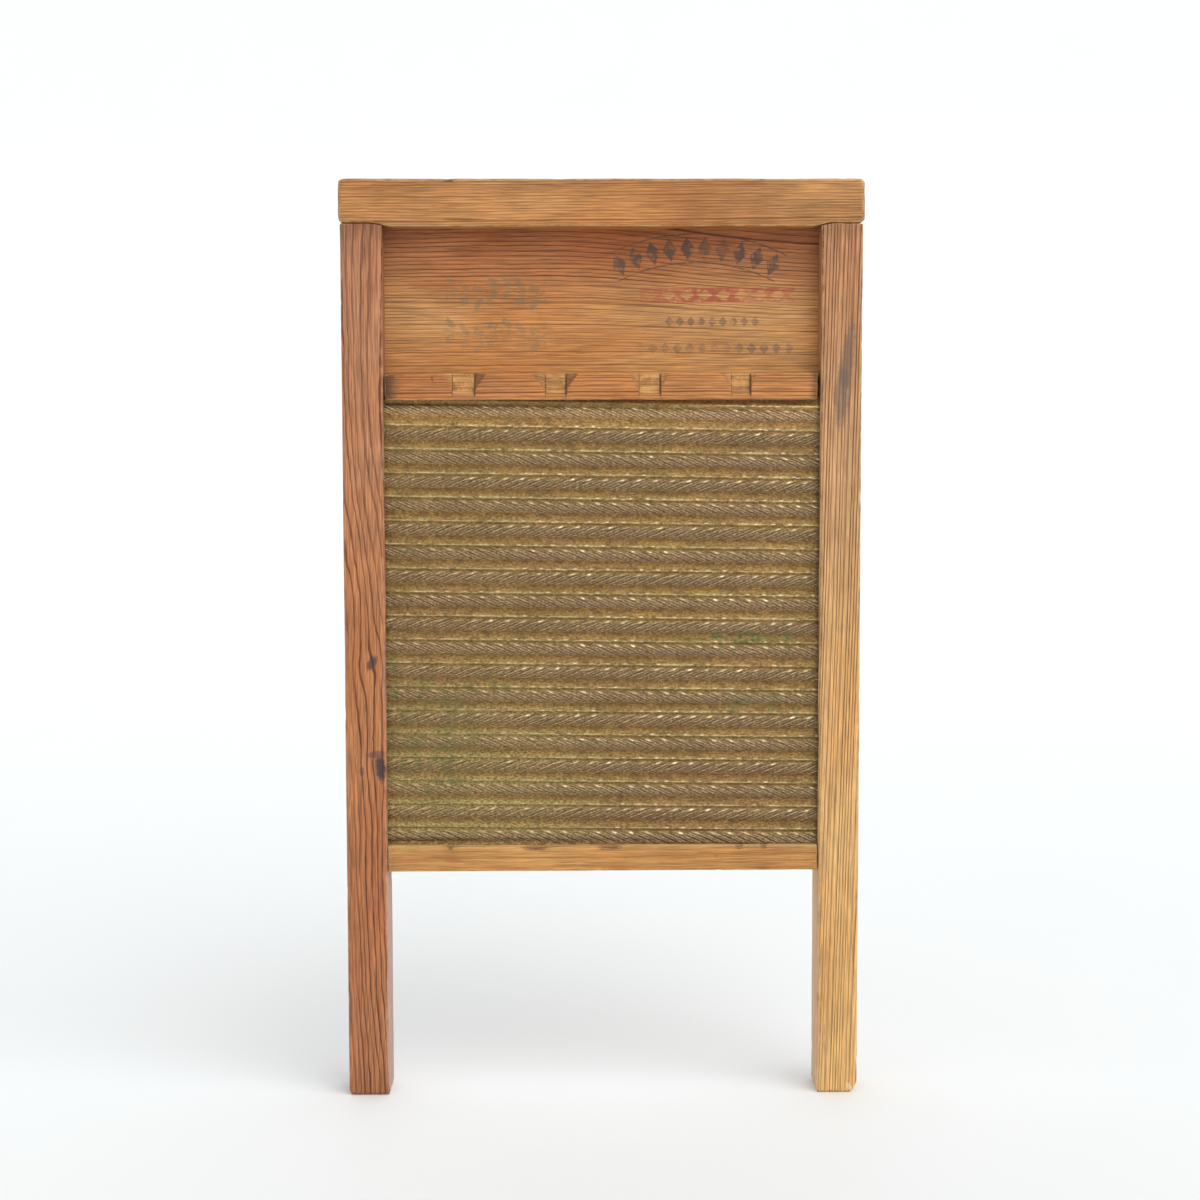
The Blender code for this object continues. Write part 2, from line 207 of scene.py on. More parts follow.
class Block:
    """A piece of wood: a lattice over a box, rounded, carved and dented. Every move goes into the wood.

    Spacing, roundings, depths, wavelengths and sizes are in mm. Places are in metres."""

    def __init__(self, node, spacing, rounding, walls=((), (), ()), nails=((), (), ())):
        self.low, self.high = (np.array(corner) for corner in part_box(node))
        self.node = node
        self.rounding = rounding * MM
        ends = zip(self.low, self.high, np.array(spacing) * MM, walls, nails)
        lines = [lattice_lines(a, b, step, self.rounding, at, near) for a, b, step, at, near in ends]
        self.points, self.faces = surface_lattice(lines)
        self.start = self.points.copy()
        gaps = np.sort(np.minimum(self.points - self.low, self.high - self.points), axis=1)
        self.marks = {"edge": np.exp(-gaps[:, 1] / (4 * MM)), "nail": np.zeros(len(gaps))}

    def radii(self, axis, corners, ends, seed):
        """Rounding at each point: a radius for each long edge and one for the ends, uneven from wear.

        corners are (low, low), (high, low), (low, high) and (high, high) over the two cross axes."""
        corners, ends = np.array(corners) * MM, ends * MM
        first, second = (i for i in range(3) if i != axis)
        share = (self.start - self.low) / (self.high - self.low)
        across, through = smooth(share[:, first], 0.35, 0.65), smooth(share[:, second], 0.35, 0.65)
        near = corners[0] + (corners[1] - corners[0]) * across
        far = corners[2] + (corners[3] - corners[2]) * across
        radius = near + (far - near) * through
        end_gap = np.minimum(self.start - self.low, self.high - self.start)[:, axis]
        radius = ends + (radius - ends) * smooth(end_gap, 0, 3 * self.rounding)
        uneven = 1 + 0.22 * ripples(self.start, 40, seed) + 0.1 * ripples(self.start, 9, seed + 1)
        return np.clip(radius * uneven, 0.3 * MM, self.rounding)

    def round_over(self, radius):
        """Pulls the points near each edge onto its rounding."""
        core = np.clip(self.points, self.low + radius[:, None], self.high - radius[:, None])
        away = self.points - core
        self.outward = away / np.linalg.norm(away, axis=1, keepdims=True)
        self.points = core + self.outward * radius[:, None]
        slant = 1 - np.abs(self.outward).max(axis=1)
        self.marks["arris"] = np.clip(slant / (1 - 0.5**0.5), 0, 1)

    def press(self, depth):
        self.points -= self.outward * np.asarray(depth)[:, None]

    def weather(self, depth, wavelength, seed):
        self.press(depth * MM * (0.5 + 0.5 * ripples(self.start, wavelength, seed)))

    def dent(self, count, seed, sizes=(1.2, 3.5), deepest=0.35):
        """Knocks at seeded places, most of them on the arrises."""
        random = np.random.default_rng(seed)
        weight = 0.15 + self.marks["arris"]
        places = random.choice(len(self.start), size=count, p=weight / weight.sum())
        for place in places:
            size = random.uniform(*sizes) * MM
            gap = ((self.start - self.start[place]) ** 2).sum(axis=1) / size**2
            self.press(random.uniform(0.3, 1) * deepest * MM * np.exp(-gap))

    def sink_nail(self, place):
        """The dimple that a driven head makes, and the rust mark around it."""
        gap = np.linalg.norm(self.start - place, axis=1)
        self.press(0.5 * MM * (1 - smooth(gap, HEAD_RADIUS + 0.1 * MM, HEAD_RADIUS + 0.7 * MM)))
        self.marks["nail"] = np.maximum(self.marks["nail"], np.exp(-((gap / (4.5 * MM)) ** 2)))

    def slot(self, axis, side, depth, low, high):
        """A groove in the side of the given axis. low and high bound it on all axes."""
        inside = np.all((self.start > low) & (self.start < high), axis=1)
        face = self.low[axis] if side < 0 else self.high[axis]
        floor = face - side * depth
        values = self.points[:, axis]
        cut = np.maximum(values, floor) if side < 0 else np.minimum(values, floor)
        self.points[:, axis] = np.where(inside, cut, values)

    def chamfer(self, axis, side, width, height):
        """Takes the lower edge off one side."""
        width, height = width * MM, height * MM
        middle = (self.low[axis] + self.high[axis]) / 2
        half = (self.high[axis] - self.low[axis]) / 2
        reach = np.clip(side * (self.start[:, axis] - middle) / half, 0, 1)
        share = np.clip((self.low[2] + height - self.start[:, 2]) / height, 0, 1)
        self.points[:, axis] -= side * width * reach * share**1.35

    def build(self, name, material):
        obj = make_object(name, self.points, self.faces.tolist(), self.marks, material)
        close_up(obj)
        stand_for(obj, self.node)


def nail_ends(node):
    """Head centre, unit vector from head to point, and length of a CAD nail."""
    low, high = (np.array(corner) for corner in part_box(node))
    axis = int(np.argmax(high - low))
    head = (low + high) / 2
    outside = 1 if axis == 2 else np.sign(head[axis])
    head[axis] = high[axis] if outside > 0 else low[axis]
    way = np.zeros(3)
    way[axis] = -outside
    return head, way, high[axis] - low[axis]


NAILS = sorted(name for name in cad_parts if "_nail_" in name)
NAIL_ENDS = {name: nail_ends(name) for name in NAILS}


def heads(words):
    """Head centres of the nails whose names hold all the words."""
    return [NAIL_ENDS[name][0] for name in NAILS if all(word in name for word in words)]


def over_post(x):
    """0 between the posts, 1 over them, and a short ramp between."""
    return np.clip((np.abs(x) - INNER_SIDE + CAP_STEP / 2) / CAP_STEP, 0, 1)


def make_cap(material):
    nail_heads = heads(["cap_nail"])
    reach = PANEL_HIGH.x + CLEAR
    walls = ((-reach, reach), (PANEL_LOW.y, PANEL_HIGH.y), ())
    nails = ({head[0] for head in nail_heads}, {head[1] for head in nail_heads}, ())
    cap = Block("top_cap", (1.6, 1.6, 1.6), 3, walls, nails)
    cap.round_over(cap.radii(0, (1.6, 1.4, 2.2, 2.0), 2.8, 11))
    middle = (cap.low + cap.high) / 2
    half = (cap.high - cap.low) / 2
    bulge = ((cap.start - middle) / half)[:, 1:] ** 2
    end = smooth(np.abs(cap.start[:, 0]) / half[0], 0.96, 1)
    cap.points[:, 0] -= np.sign(cap.start[:, 0]) * 0.5 * MM * end * bulge.sum(axis=1)
    cap.weather(0.25, (70, 12, 12), 12)
    cap.dent(70, 13)
    for head in nail_heads:
        cap.sink_nail(head)
    depth = PANEL_HIGH.z - cap.low[2] + CLEAR
    cap.slot(2, -1, depth, (-reach, PANEL_LOW.y, 0), (reach, PANEL_HIGH.y, 1))
    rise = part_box("left_post")[1].z + CLEAR - cap.low[2]
    low_down = 1 - smooth(cap.start[:, 2] - cap.low[2], 0, 9 * MM)
    cap.points[:, 2] += rise * over_post(cap.start[:, 0]) * low_down
    cap.build("worn_cap", material)


def make_post(node, side, corners, feet, material, seed):
    nail_heads = heads(["left" if side < 0 else "right"])
    side_heads = [head for head in nail_heads if head[2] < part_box("drain_rail")[1].z]
    slat_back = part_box("back_slat_middle")[1].y
    grooves = (
        (PANEL_HIGH.x, PANEL_LOW.y, PANEL_HIGH.y, PANEL_LOW.z, 1),
        (SHEET_HIGH.x, SHEET_LOW.y, slat_back, SHEET_LOW.z, SHEET_HIGH.z),
    )
    y_walls = [y for groove in grooves for y in (groove[1] - CLEAR, groove[2] + CLEAR)]
    z_walls = [z for groove in grooves for z in (groove[3] - CLEAR, groove[4] + CLEAR) if z < 1]
    nails = ((), {head[1] for head in side_heads}, {head[2] for head in side_heads})
    post = Block(node, (2.5, 1.7, 1.6), 3.4, ((), y_walls, z_walls), nails)
    post.round_over(post.radii(2, corners, 0.6, seed))
    post.weather(0.13, (9, 9, 70), seed + 2)
    for way, (width, height) in zip((-1, 1), feet):
        post.chamfer(0, way, width, height)
        post.chamfer(1, way, 1.0, 2.0)
    post.dent(130, seed + 3)
    for head in side_heads:
        post.sink_nail(head)
    centre = (post.low[0] + post.high[0]) / 2
    outer_half = side * (post.start[:, 0] - centre) >= 0
    for reach, front, back, bottom, top in grooves:
        kept = post.points[outer_half]
        low, high = (-1, front - CLEAR, bottom - CLEAR), (1, back + CLEAR, top + CLEAR)
        post.slot(0, -side, reach + CLEAR - INNER_SIDE, low, high)
        post.points[outer_half] = kept
    near_top = smooth(post.start[:, 2], post.high[2] - 9 * MM, post.high[2])
    post.points[:, 2] -= 2.4 * MM * (1 - over_post(post.start[:, 0])) * near_top
    post.build("worn_" + node, material)


def make_panel(material):
    panel = Block("crest_panel", (2.2, 2.2, 2.2), 1)
    panel.round_over(panel.radii(0, (0.8,) * 4, 0.8, 31))
    panel.weather(0.25, (120, 9, 7), 32)
    panel.build("worn_crest_panel", material)


def channel_cut(x, height, rail_height):
    """Depth of the drain channels and of the slanting cuts beside them, and how dark each cut is:
    painted shade on cuts that face away from the light, with darker end grain.
    """
    depth, dark = np.zeros_like(x), np.zeros_like(x)
    from_top = rail_height - height
    for index, (centre, width, *sides) in enumerate(CHANNELS):
        inside = np.abs(x - centre) < width / 2
        lip = CHANNEL_LIP * (1 + 0.15 * np.sin(3.1 * index))
        slope = smooth(height, lip, lip + CHANNEL_RUNOUT)
        sag = 1 - 0.15 * ((x - centre) / width * 2) ** 2
        depth = np.where(inside, CHANNEL_DEPTH * slope * sag, depth)
        for way, (reach, darkness) in zip((-1, 1), sides):
            beyond = way * (x - centre) - width / 2
            share = 1 - beyond / reach - from_top / FACET_HEIGHT
            steep = 0.4 + 0.6 * darkness
            cut = np.where(beyond >= -0.5 * WALL, FACET_DEPTH * steep * np.clip(share, 0, 1), 0)
            dark = np.where(cut > 0.05 * MM, darkness, dark)
            depth = np.maximum(depth, cut)
    return depth, dark


def make_drain_rail(material):
    edges = [centre + way * width / 2 for centre, width, *_ in CHANNELS for way in (-1, 1)]
    walls = (edges, (SHEET_LOW.y - CLEAR, SHEET_HIGH.y + CLEAR), ())
    rail = Block("drain_rail", (0.8, 1.1, 0.7), 1.2, walls)
    rail.round_over(rail.radii(0, (0.9, 0.6, 1.0, 0.6), 0.9, 41))
    rail.weather(0.16, (30, 6, 5), 42)
    rail.dent(60, 43, (0.8, 2.2), 0.3)
    height = rail.start[:, 2] - rail.low[2]
    x = rail.start[:, 0]
    chatter = 1 + 0.08 * ripples(rail.start, (2.5, 20, 5), 44)
    cut, dark = channel_cut(x, height, rail.high[2] - rail.low[2])
    cut = cut * chatter
    from_crack = x + 101.5 * MM + 0.15 * (rail.high[2] - rail.start[:, 2])
    crack = np.exp(-((from_crack / (0.5 * MM)) ** 2))
    cut = np.maximum(cut, 1.2 * MM * crack * smooth(height, 11 * MM, 14 * MM))
    depth = rail.high[1] - rail.low[1]
    share = 1 - (rail.start[:, 1] - rail.low[1]) / depth
    rail.points[:, 1] += cut * np.clip(share, 0, 1)
    broken = smooth(-x, 101 * MM, 103 * MM) * 0.9 * MM * smooth(height, 10 * MM, 17 * MM)
    rail.points[:, 2] -= broken * (0.5 + 0.5 * smooth(-x, 100 * MM, 131 * MM))
    rail.points[:, 2] += 1.3 * MM * (1 - smooth(height, 0, 5 * MM))
    rail.marks["carved"] = smooth(cut, 0.25 * MM, 1.2 * MM)
    # Dirt and painted shade at the rail's ends beside the posts, darkest at the left.
    rail_end_dirt_and_shade = np.maximum(1 - smooth(x, -130 * MM, -118 * MM), 0.6 * smooth(x, 124 * MM, 129 * MM))
    rail.marks["dark_marks_and_painted_shade"] = np.maximum(dark, 0.9 * rail_end_dirt_and_shade)
    low, high = (-0.1295, SHEET_LOW.y - CLEAR, 0), (0.1285, SHEET_HIGH.y + CLEAR, 0.4262)
    rail.slot(2, -1, SHEET_HIGH.z - rail.low[2] + CLEAR, low, high)
    rail.build("worn_drain_rail", material)


def make_bottom_rail(material):
    walls = ((), (SHEET_LOW.y - CLEAR, SHEET_HIGH.y + CLEAR), ())
    rail = Block("bottom_rail", (1.2, 1.3, 0.8), 1.6, walls)
    rail.round_over(rail.radii(0, (1.6, 1.0, 0.7, 0.8), 0.35, 51))
    rail.weather(0.18, (60, 8, 6), 52)
    rail.dent(60, 53, (0.8, 2.6), 0.4)
    x = rail.start[:, 0]
    worn = smooth(x, -96 * MM, -92 * MM) - 0.55 * smooth(x, 0, 30 * MM)
    worn += 0.2 * ripples(rail.start, (26, 1000, 1000), 54)
    top_front = smooth(rail.start[:, 2], rail.high[2] - 5 * MM, rail.high[2])
    top_front *= 1 - smooth(rail.start[:, 1], SHEET_LOW.y - 1 * MM, SHEET_LOW.y)
    nicks = sum(np.exp(-(((x / MM - place) / half) ** 2)) for place, half in NICKS)
    rail.points[:, 2] -= (1.4 * np.clip(worn, 0, 1) + 1.0 * np.clip(nicks, 0, 1)) * MM * top_front
    at_left = 1 - smooth(x, -131 * MM, -122 * MM)
    nicked = smooth(nicks, 0.3, 0.9) * smooth(top_front, 0.3, 0.9)
    rail.marks["dark_marks_and_painted_shade"] = np.maximum(nicked, 0.2 * at_left)
    rail.marks["carved"] = 0.6 * smooth(top_front, 0.3, 0.95)
    rail.points[:, 0] -= 0.25 * MM * smooth(-x, 100 * MM, 129 * MM)
    low, high = (-0.13, SHEET_LOW.y - CLEAR, 0.149), (0.13, SHEET_HIGH.y + CLEAR, 1)
    rail.slot(2, 1, rail.high[2] - SHEET_LOW.z + CLEAR, low, high)
    rail.build("worn_bottom_rail", material)


def make_slat(node, material, seed):
    slat = Block(node, (1.6, 2.0, 2.0), 1)
    slat.round_over(slat.radii(0, (0.7,) * 4, 0.7, seed))
    slat.weather(0.22, (5, 40, 60), seed + 1)
    slat.weather(0.3, (90, 20, 14), seed + 2)
    slat.dent(30, seed + 3)
    slat.build("worn_" + node, material)


# ---------------------------------------------------------------- sheet and nails


def rib_place(x, z):
    """Which rib a point of the sheet is on, and how far below that rib's crease it is, in pitches."""
    share = (z - SHEET_LOW.z) / (SHEET_HIGH.z - SHEET_LOW.z)
    drop = LINE_DROP_BOTTOM + (LINE_DROP_TOP - LINE_DROP_BOTTOM) * share
    down = (FIRST_LINE - z - x * drop) / RIB_PITCH
    rib = np.floor(down)
    return rib, down - rib


def stamped(x, shift, across, place, length, height):
    """A row of long round stamps at STAMP_STEP, at a share of the pitch: 1 in the middle of each."""
    along = (x / STAMP_STEP + shift + 0.5) % 1 - 0.5
    gap = (along * STAMP_STEP / (length / 2)) ** 2 + ((across - place) * RIB_PITCH / (height / 2)) ** 2
    return np.exp(-1.4 * gap)


def sheet_relief(x, z):
    """Height of the sheet towards the front over its valleys, and the marks that its material reads."""
    rib, across = rib_place(x, z)
    flat_points = np.stack([x, 0 * x, z], axis=1)
    crisp = 0.8 + 0.35 * ripples(flat_points, (28, 1000, 14), 62)
    faded = 1 - (1 - smooth(x, -118 * MM, -88 * MM)) * smooth(z, 330 * MM, 385 * MM)
    faded = np.maximum(faded, smooth(z, 408 * MM, 412 * MM))
    offset = np.clip((across - ROPE_CENTRE) / ROPE_HALF, -1, 1)
    rope = np.cos(offset * pi / 2) ** np.where(offset < 0, 0.75, 1.3)
    hand = np.where(rib % 2 == 0, 1.0, -1.0)
    start = np.sin(rib * 12.9898) * 4.37
    phase = x / STRAND_STEP + hand * STRAND_TWIST * np.arcsin(offset * 0.97) + start
    strand = np.abs(np.cos(pi * phase)) ** 0.8
    on_rope = smooth(1 - np.abs(offset), 0.02, 0.3)
    crease = np.where(across > 0.5, smooth(across, 0.66, 0.99) ** 1.6, 1 - smooth(across, 0.0, 0.07))
    shift = 0.5 * (rib % 2) + 0.2 * np.sin(rib * 7.1)
    domes = stamped(x, shift, across, DASH_PLACE, 5.0 * MM, 1.6 * MM) * crisp * faded
    beads = stamped(x, shift + 0.5, across % 1, 0.97, 3.0 * MM, 1.2 * MM) * crisp * faded
    dashes = stamped(x, shift + 0.25, across, LENS_PLACE, 5.5 * MM, 1.2 * MM) * crisp
    height = 1.6 * rope + 0.9 * crease * (0.9 + 0.2 * crisp) + 0.5 * domes + 0.35 * beads - 0.4 * dashes
    height += 0.9 * on_rope * (strand - 0.6) * crisp
    height += 0.22 * ripples(flat_points, (80, 1000, 60), 63)
    height += 0.09 * ripples(flat_points, (5, 1000, 3), 64)
    height += 1.8 * (1 - smooth(z, 153.5 * MM, 157 * MM))
    marks = {"down": rib + across, "rope": on_rope, "strand": phase, "faded": faded}
    return height * MM, marks


def make_sheet(material):
    """A closed thin sheet: a fine front, a back with half the rows and columns, and a rim between."""
    low, high = np.array(SHEET_LOW), np.array(SHEET_HIGH)
    columns = 2 * round((high[0] - low[0]) / SHEET_COLUMN / 2) + 1
    rows = 2 * round((high[2] - low[2]) / SHEET_ROW / 2) + 1
    across, up = np.linspace(low[0], high[0], columns), np.linspace(low[2], high[2], rows)
    z, x = (values.ravel() for values in np.meshgrid(up, across, indexing="ij"))
    height, marks = sheet_relief(x, z)
    deepest = high[1] - SHEET_THICKNESS
    y = np.clip(deepest - height, low[1], deepest)
    front = np.stack([x, y, z], axis=1)
    ids = np.arange(rows * columns).reshape(rows, columns)
    coarse = ids[::2, ::2]
    back = front[coarse.ravel()] + (0, SHEET_THICKNESS, 0)
    back_ids = len(front) + np.arange(coarse.size).reshape(coarse.shape)
    quads = np.stack([ids[:-1, :-1], ids[:-1, 1:], ids[1:, 1:], ids[1:, :-1]], axis=-1).reshape(-1, 4)
    back_corners = [back_ids[:-1, :-1], back_ids[1:, :-1], back_ids[1:, 1:], back_ids[:-1, 1:]]
    faces = quads.tolist() + np.stack(back_corners, axis=-1).reshape(-1, 4).tolist()
    rims = (
        (ids[0], back_ids[0], False),
        (ids[-1], back_ids[-1], True),
        (ids[:, 0], back_ids[:, 0], True),
        (ids[:, -1], back_ids[:, -1], False),
    )
    for fine, rough, turned in rims:
        for i in range(len(rough) - 1):
            face = [*fine[2 * i : 2 * i + 3][::-1].tolist(), int(rough[i]), int(rough[i + 1])]
            faces.append(face[::-1] if turned else face)
    points = np.concatenate([front, back])
    whole = {label: np.concatenate([values, values[coarse.ravel()]]) for label, values in marks.items()}
    sheet = make_object("embossed_sheet", points, faces, whole, material)
    sheet.data.shade_smooth()
    stand_for(sheet, "rubbing_sheet")


def make_nail(node, material, seed):
    """A driven nail: a flat head with a rounded rim and hammer marks, a round shank and a point."""
    head, way, length = NAIL_ENDS[node]
    profile = (
        (0.35 * HEAD_RADIUS, 0.0),
        (0.7 * HEAD_RADIUS, 0.03 * MM),
        (0.9 * HEAD_RADIUS, 0.12 * MM),
        (HEAD_RADIUS, 0.35 * MM),
        (HEAD_RADIUS, 0.7 * MM),
        (0.86 * HEAD_RADIUS, 0.98 * MM),
        (1.15 * SHANK_RADIUS, 1.05 * MM),
        (SHANK_RADIUS, 1.6 * MM),
        (SHANK_RADIUS, length - 3.6 * MM),
        (0.75 * SHANK_RADIUS, length - 2.2 * MM),
        (0.15 * SHANK_RADIUS, length - 0.1 * MM),
    )
    side = np.cross(way, (0.0, 1.0, 0.0))
    other = np.cross(way, side)
    turn = np.linspace(0, 2 * pi, NAIL_SIDES, endpoint=False)
    rings = []
    for radius, depth in profile:
        ring = np.outer(np.cos(turn), side) + np.outer(np.sin(turn), other)
        rings.append(head + way * depth + radius * ring)
    points = np.concatenate([*rings, [head, head + way * length]])
    worn = 0.5 + 0.5 * ripples(points, 2.2, seed)
    on_head = np.linalg.norm(points - head, axis=1) < HEAD_RADIUS + 0.5 * MM
    points += way * (0.12 * MM * worn * on_head)[:, None]
    ids = np.arange(len(profile) * NAIL_SIDES).reshape(len(profile), NAIL_SIDES)
    wrapped = np.concatenate([ids, ids[:, :1]], axis=1)
    quads = np.stack([wrapped[:-1, :-1], wrapped[1:, :-1], wrapped[1:, 1:], wrapped[:-1, 1:]], axis=-1)
    faces = quads.reshape(-1, 4).tolist()
    top, tip = len(points) - 2, len(points) - 1
    faces += [[top, int(a), int(b)] for a, b in zip(wrapped[0, :-1], wrapped[0, 1:])]
    faces += [[tip, int(b), int(a)] for a, b in zip(wrapped[-1, :-1], wrapped[-1, 1:])]
    nail = make_object("driven_" + node, points, faces, {}, material)
    shape = bmesh.new()
    shape.from_mesh(nail.data)
    bmesh.ops.recalc_face_normals(shape, faces=shape.faces)
    shape.to_mesh(nail.data)
    shape.free()
    nail.data.shade_smooth()
    nail.data.set_sharp_from_angle(angle=SHARP_ANGLE)
    stand_for(nail, node)


# ---------------------------------------------------------------- materials


def shader_node(kind, inputs, output=0, tree=None, **settings):
    """Adds a node to the tree of its inputs. An input is a number, a colour, a vector or a Value."""
    tree = tree or next(value.tree for value in inputs.values() if isinstance(value, Value))
    made = tree.nodes.new("ShaderNode" + kind)
    for key, value in settings.items():
        setattr(made, key, value)
    for key, value in inputs.items():
        feed(made.inputs[key], value)
    return Value(tree, made.outputs[output])


def feed(socket, value):
    if isinstance(value, Value):
        value.tree.links.new(value.socket, socket)
    elif socket.type == "RGBA":
        socket.default_value = (*value[:3], 1.0)
    else:
        socket.default_value = value


def maths(operation, *values):
    return shader_node("Math", dict(enumerate(values)), operation=operation)


def operator(operation, swapped=False):
    """A Python operator that adds a Math node."""
    return lambda left, right: maths(operation, *((right, left) if swapped else (left, right)))


class Value:
    """A node's output, which Python's arithmetic works on."""

    __add__, __radd__ = operator("ADD"), operator("ADD", True)
    __sub__, __rsub__ = operator("SUBTRACT"), operator("SUBTRACT", True)
    __mul__, __rmul__ = operator("MULTIPLY"), operator("MULTIPLY", True)
    __pow__ = operator("POWER")

    def __init__(self, tree, socket):
        self.tree, self.socket = tree, socket

    def __truediv__(self, number):
        return self * (1 / number)

    def __abs__(self):
        return maths("ABSOLUTE", self)


def split(vector):
    made = vector.tree.nodes.new("ShaderNodeSeparateXYZ")
    feed(made.inputs[0], vector)
    return [Value(vector.tree, output) for output in made.outputs]


def join(x, y, z):
    return shader_node("CombineXYZ", {0: x, 1: y, 2: z})


def ramp(value, low, high, start=0.0, end=1.0):
    """start below low, end above high and an S curve between."""
    inputs = {0: value, 1: low, 2: high, 3: start, 4: end}
    return shader_node("MapRange", inputs, interpolation_type="SMOOTHSTEP")


def noise(vector, scale, detail=2.0, roughness=0.5):
    inputs = {"Vector": vector, "Scale": scale, "Detail": detail, "Roughness": roughness}
    return shader_node("TexNoise", inputs)


def noise_along(value, scale, detail):
    inputs = {"W": value, "Scale": scale, "Detail": detail}
    return shader_node("TexNoise", inputs, noise_dimensions="1D")


def chance(value):
    """A random number from 0 to 1 for each value."""
    return shader_node("TexWhiteNoise", {"W": value}, "Value", noise_dimensions="1D")


def moved(vector, offset):
    return shader_node("VectorMath", {0: vector, 1: (offset, offset, offset)}, operation="ADD")


def mix(share, a, b, how="MIX", tree=None):
    return shader_node("Mix", {0: share, 6: a, 7: b}, 2, tree, data_type="RGBA", blend_type=how)


def shade(colour, amount):
    """colour times a grey."""
    grey = (amount,) * 3
    if isinstance(amount, Value):
        grey = shader_node("CombineColor", dict(enumerate(grey)))
    return mix(1.0, colour, grey, "MULTIPLY")


def tones(value, stops):
    """A colour ramp through (place, colour) stops."""
    made = value.tree.nodes.new("ShaderNodeValToRGB")
    feed(made.inputs[0], value)
    elements = made.color_ramp.elements
    while len(elements) < len(stops):
        elements.new(0.5)
    for element, (place, colour) in zip(elements, stops):
        element.position = place
        element.color = (*colour, 1.0)
    return Value(value.tree, made.outputs[0])


class Graph:
    """A material and the values that its nodes start from."""

    def __init__(self, name):
        self.material = bpy.data.materials.new(name)
        self.material.use_nodes = True
        self.tree = self.material.node_tree
        self.surface = self.tree.nodes["Principled BSDF"]
        self.place = shader_node("TexCoord", {}, "Object", self.tree)
        self.x, self.y, self.z = split(self.place)

    def attribute(self, label):
        return shader_node("Attribute", {}, "Fac", self.tree, attribute_name=label)

    def normal(self):
        return split(shader_node("NewGeometry", {}, "Normal", self.tree))

    def front(self):
        """1 on faces that look to the front, 0 at the back."""
        return ramp(self.normal()[1], -0.5, 0.1, 1.0, 0.0)

    def blot(self, across, along, centre, size, tilt=0.0):
        """1 inside a soft ragged ellipse. Centre and half sizes are in mm, tilt is in degrees."""
        right, up = across - centre[0] * MM, along - centre[1] * MM
        turn_cos, turn_sin = np.cos(radians(tilt)), np.sin(radians(tilt))
        first = (right * turn_cos + up * turn_sin) / (size[0] * MM)
        second = (up * turn_cos - right * turn_sin) / (size[1] * MM)
        gap = maths("SQRT", first * first + second * second)
        edge = noise(self.place, 1.6 / (min(size) * MM), 3.0, 0.6)
        return ramp(gap + (edge - 0.5) * 0.7, 1.15, 0.55)

    def finish(self, colour, roughness, height, bump, depth, metallic=0.0):
        normal = shader_node("Bump", {"Strength": bump, "Distance": depth, "Height": height})
        inputs = {"Base Color": colour, "Roughness": roughness, "Metallic": metallic, "Normal": normal}
        for label, value in inputs.items():
            feed(self.surface.inputs[label], value)
        return self.material


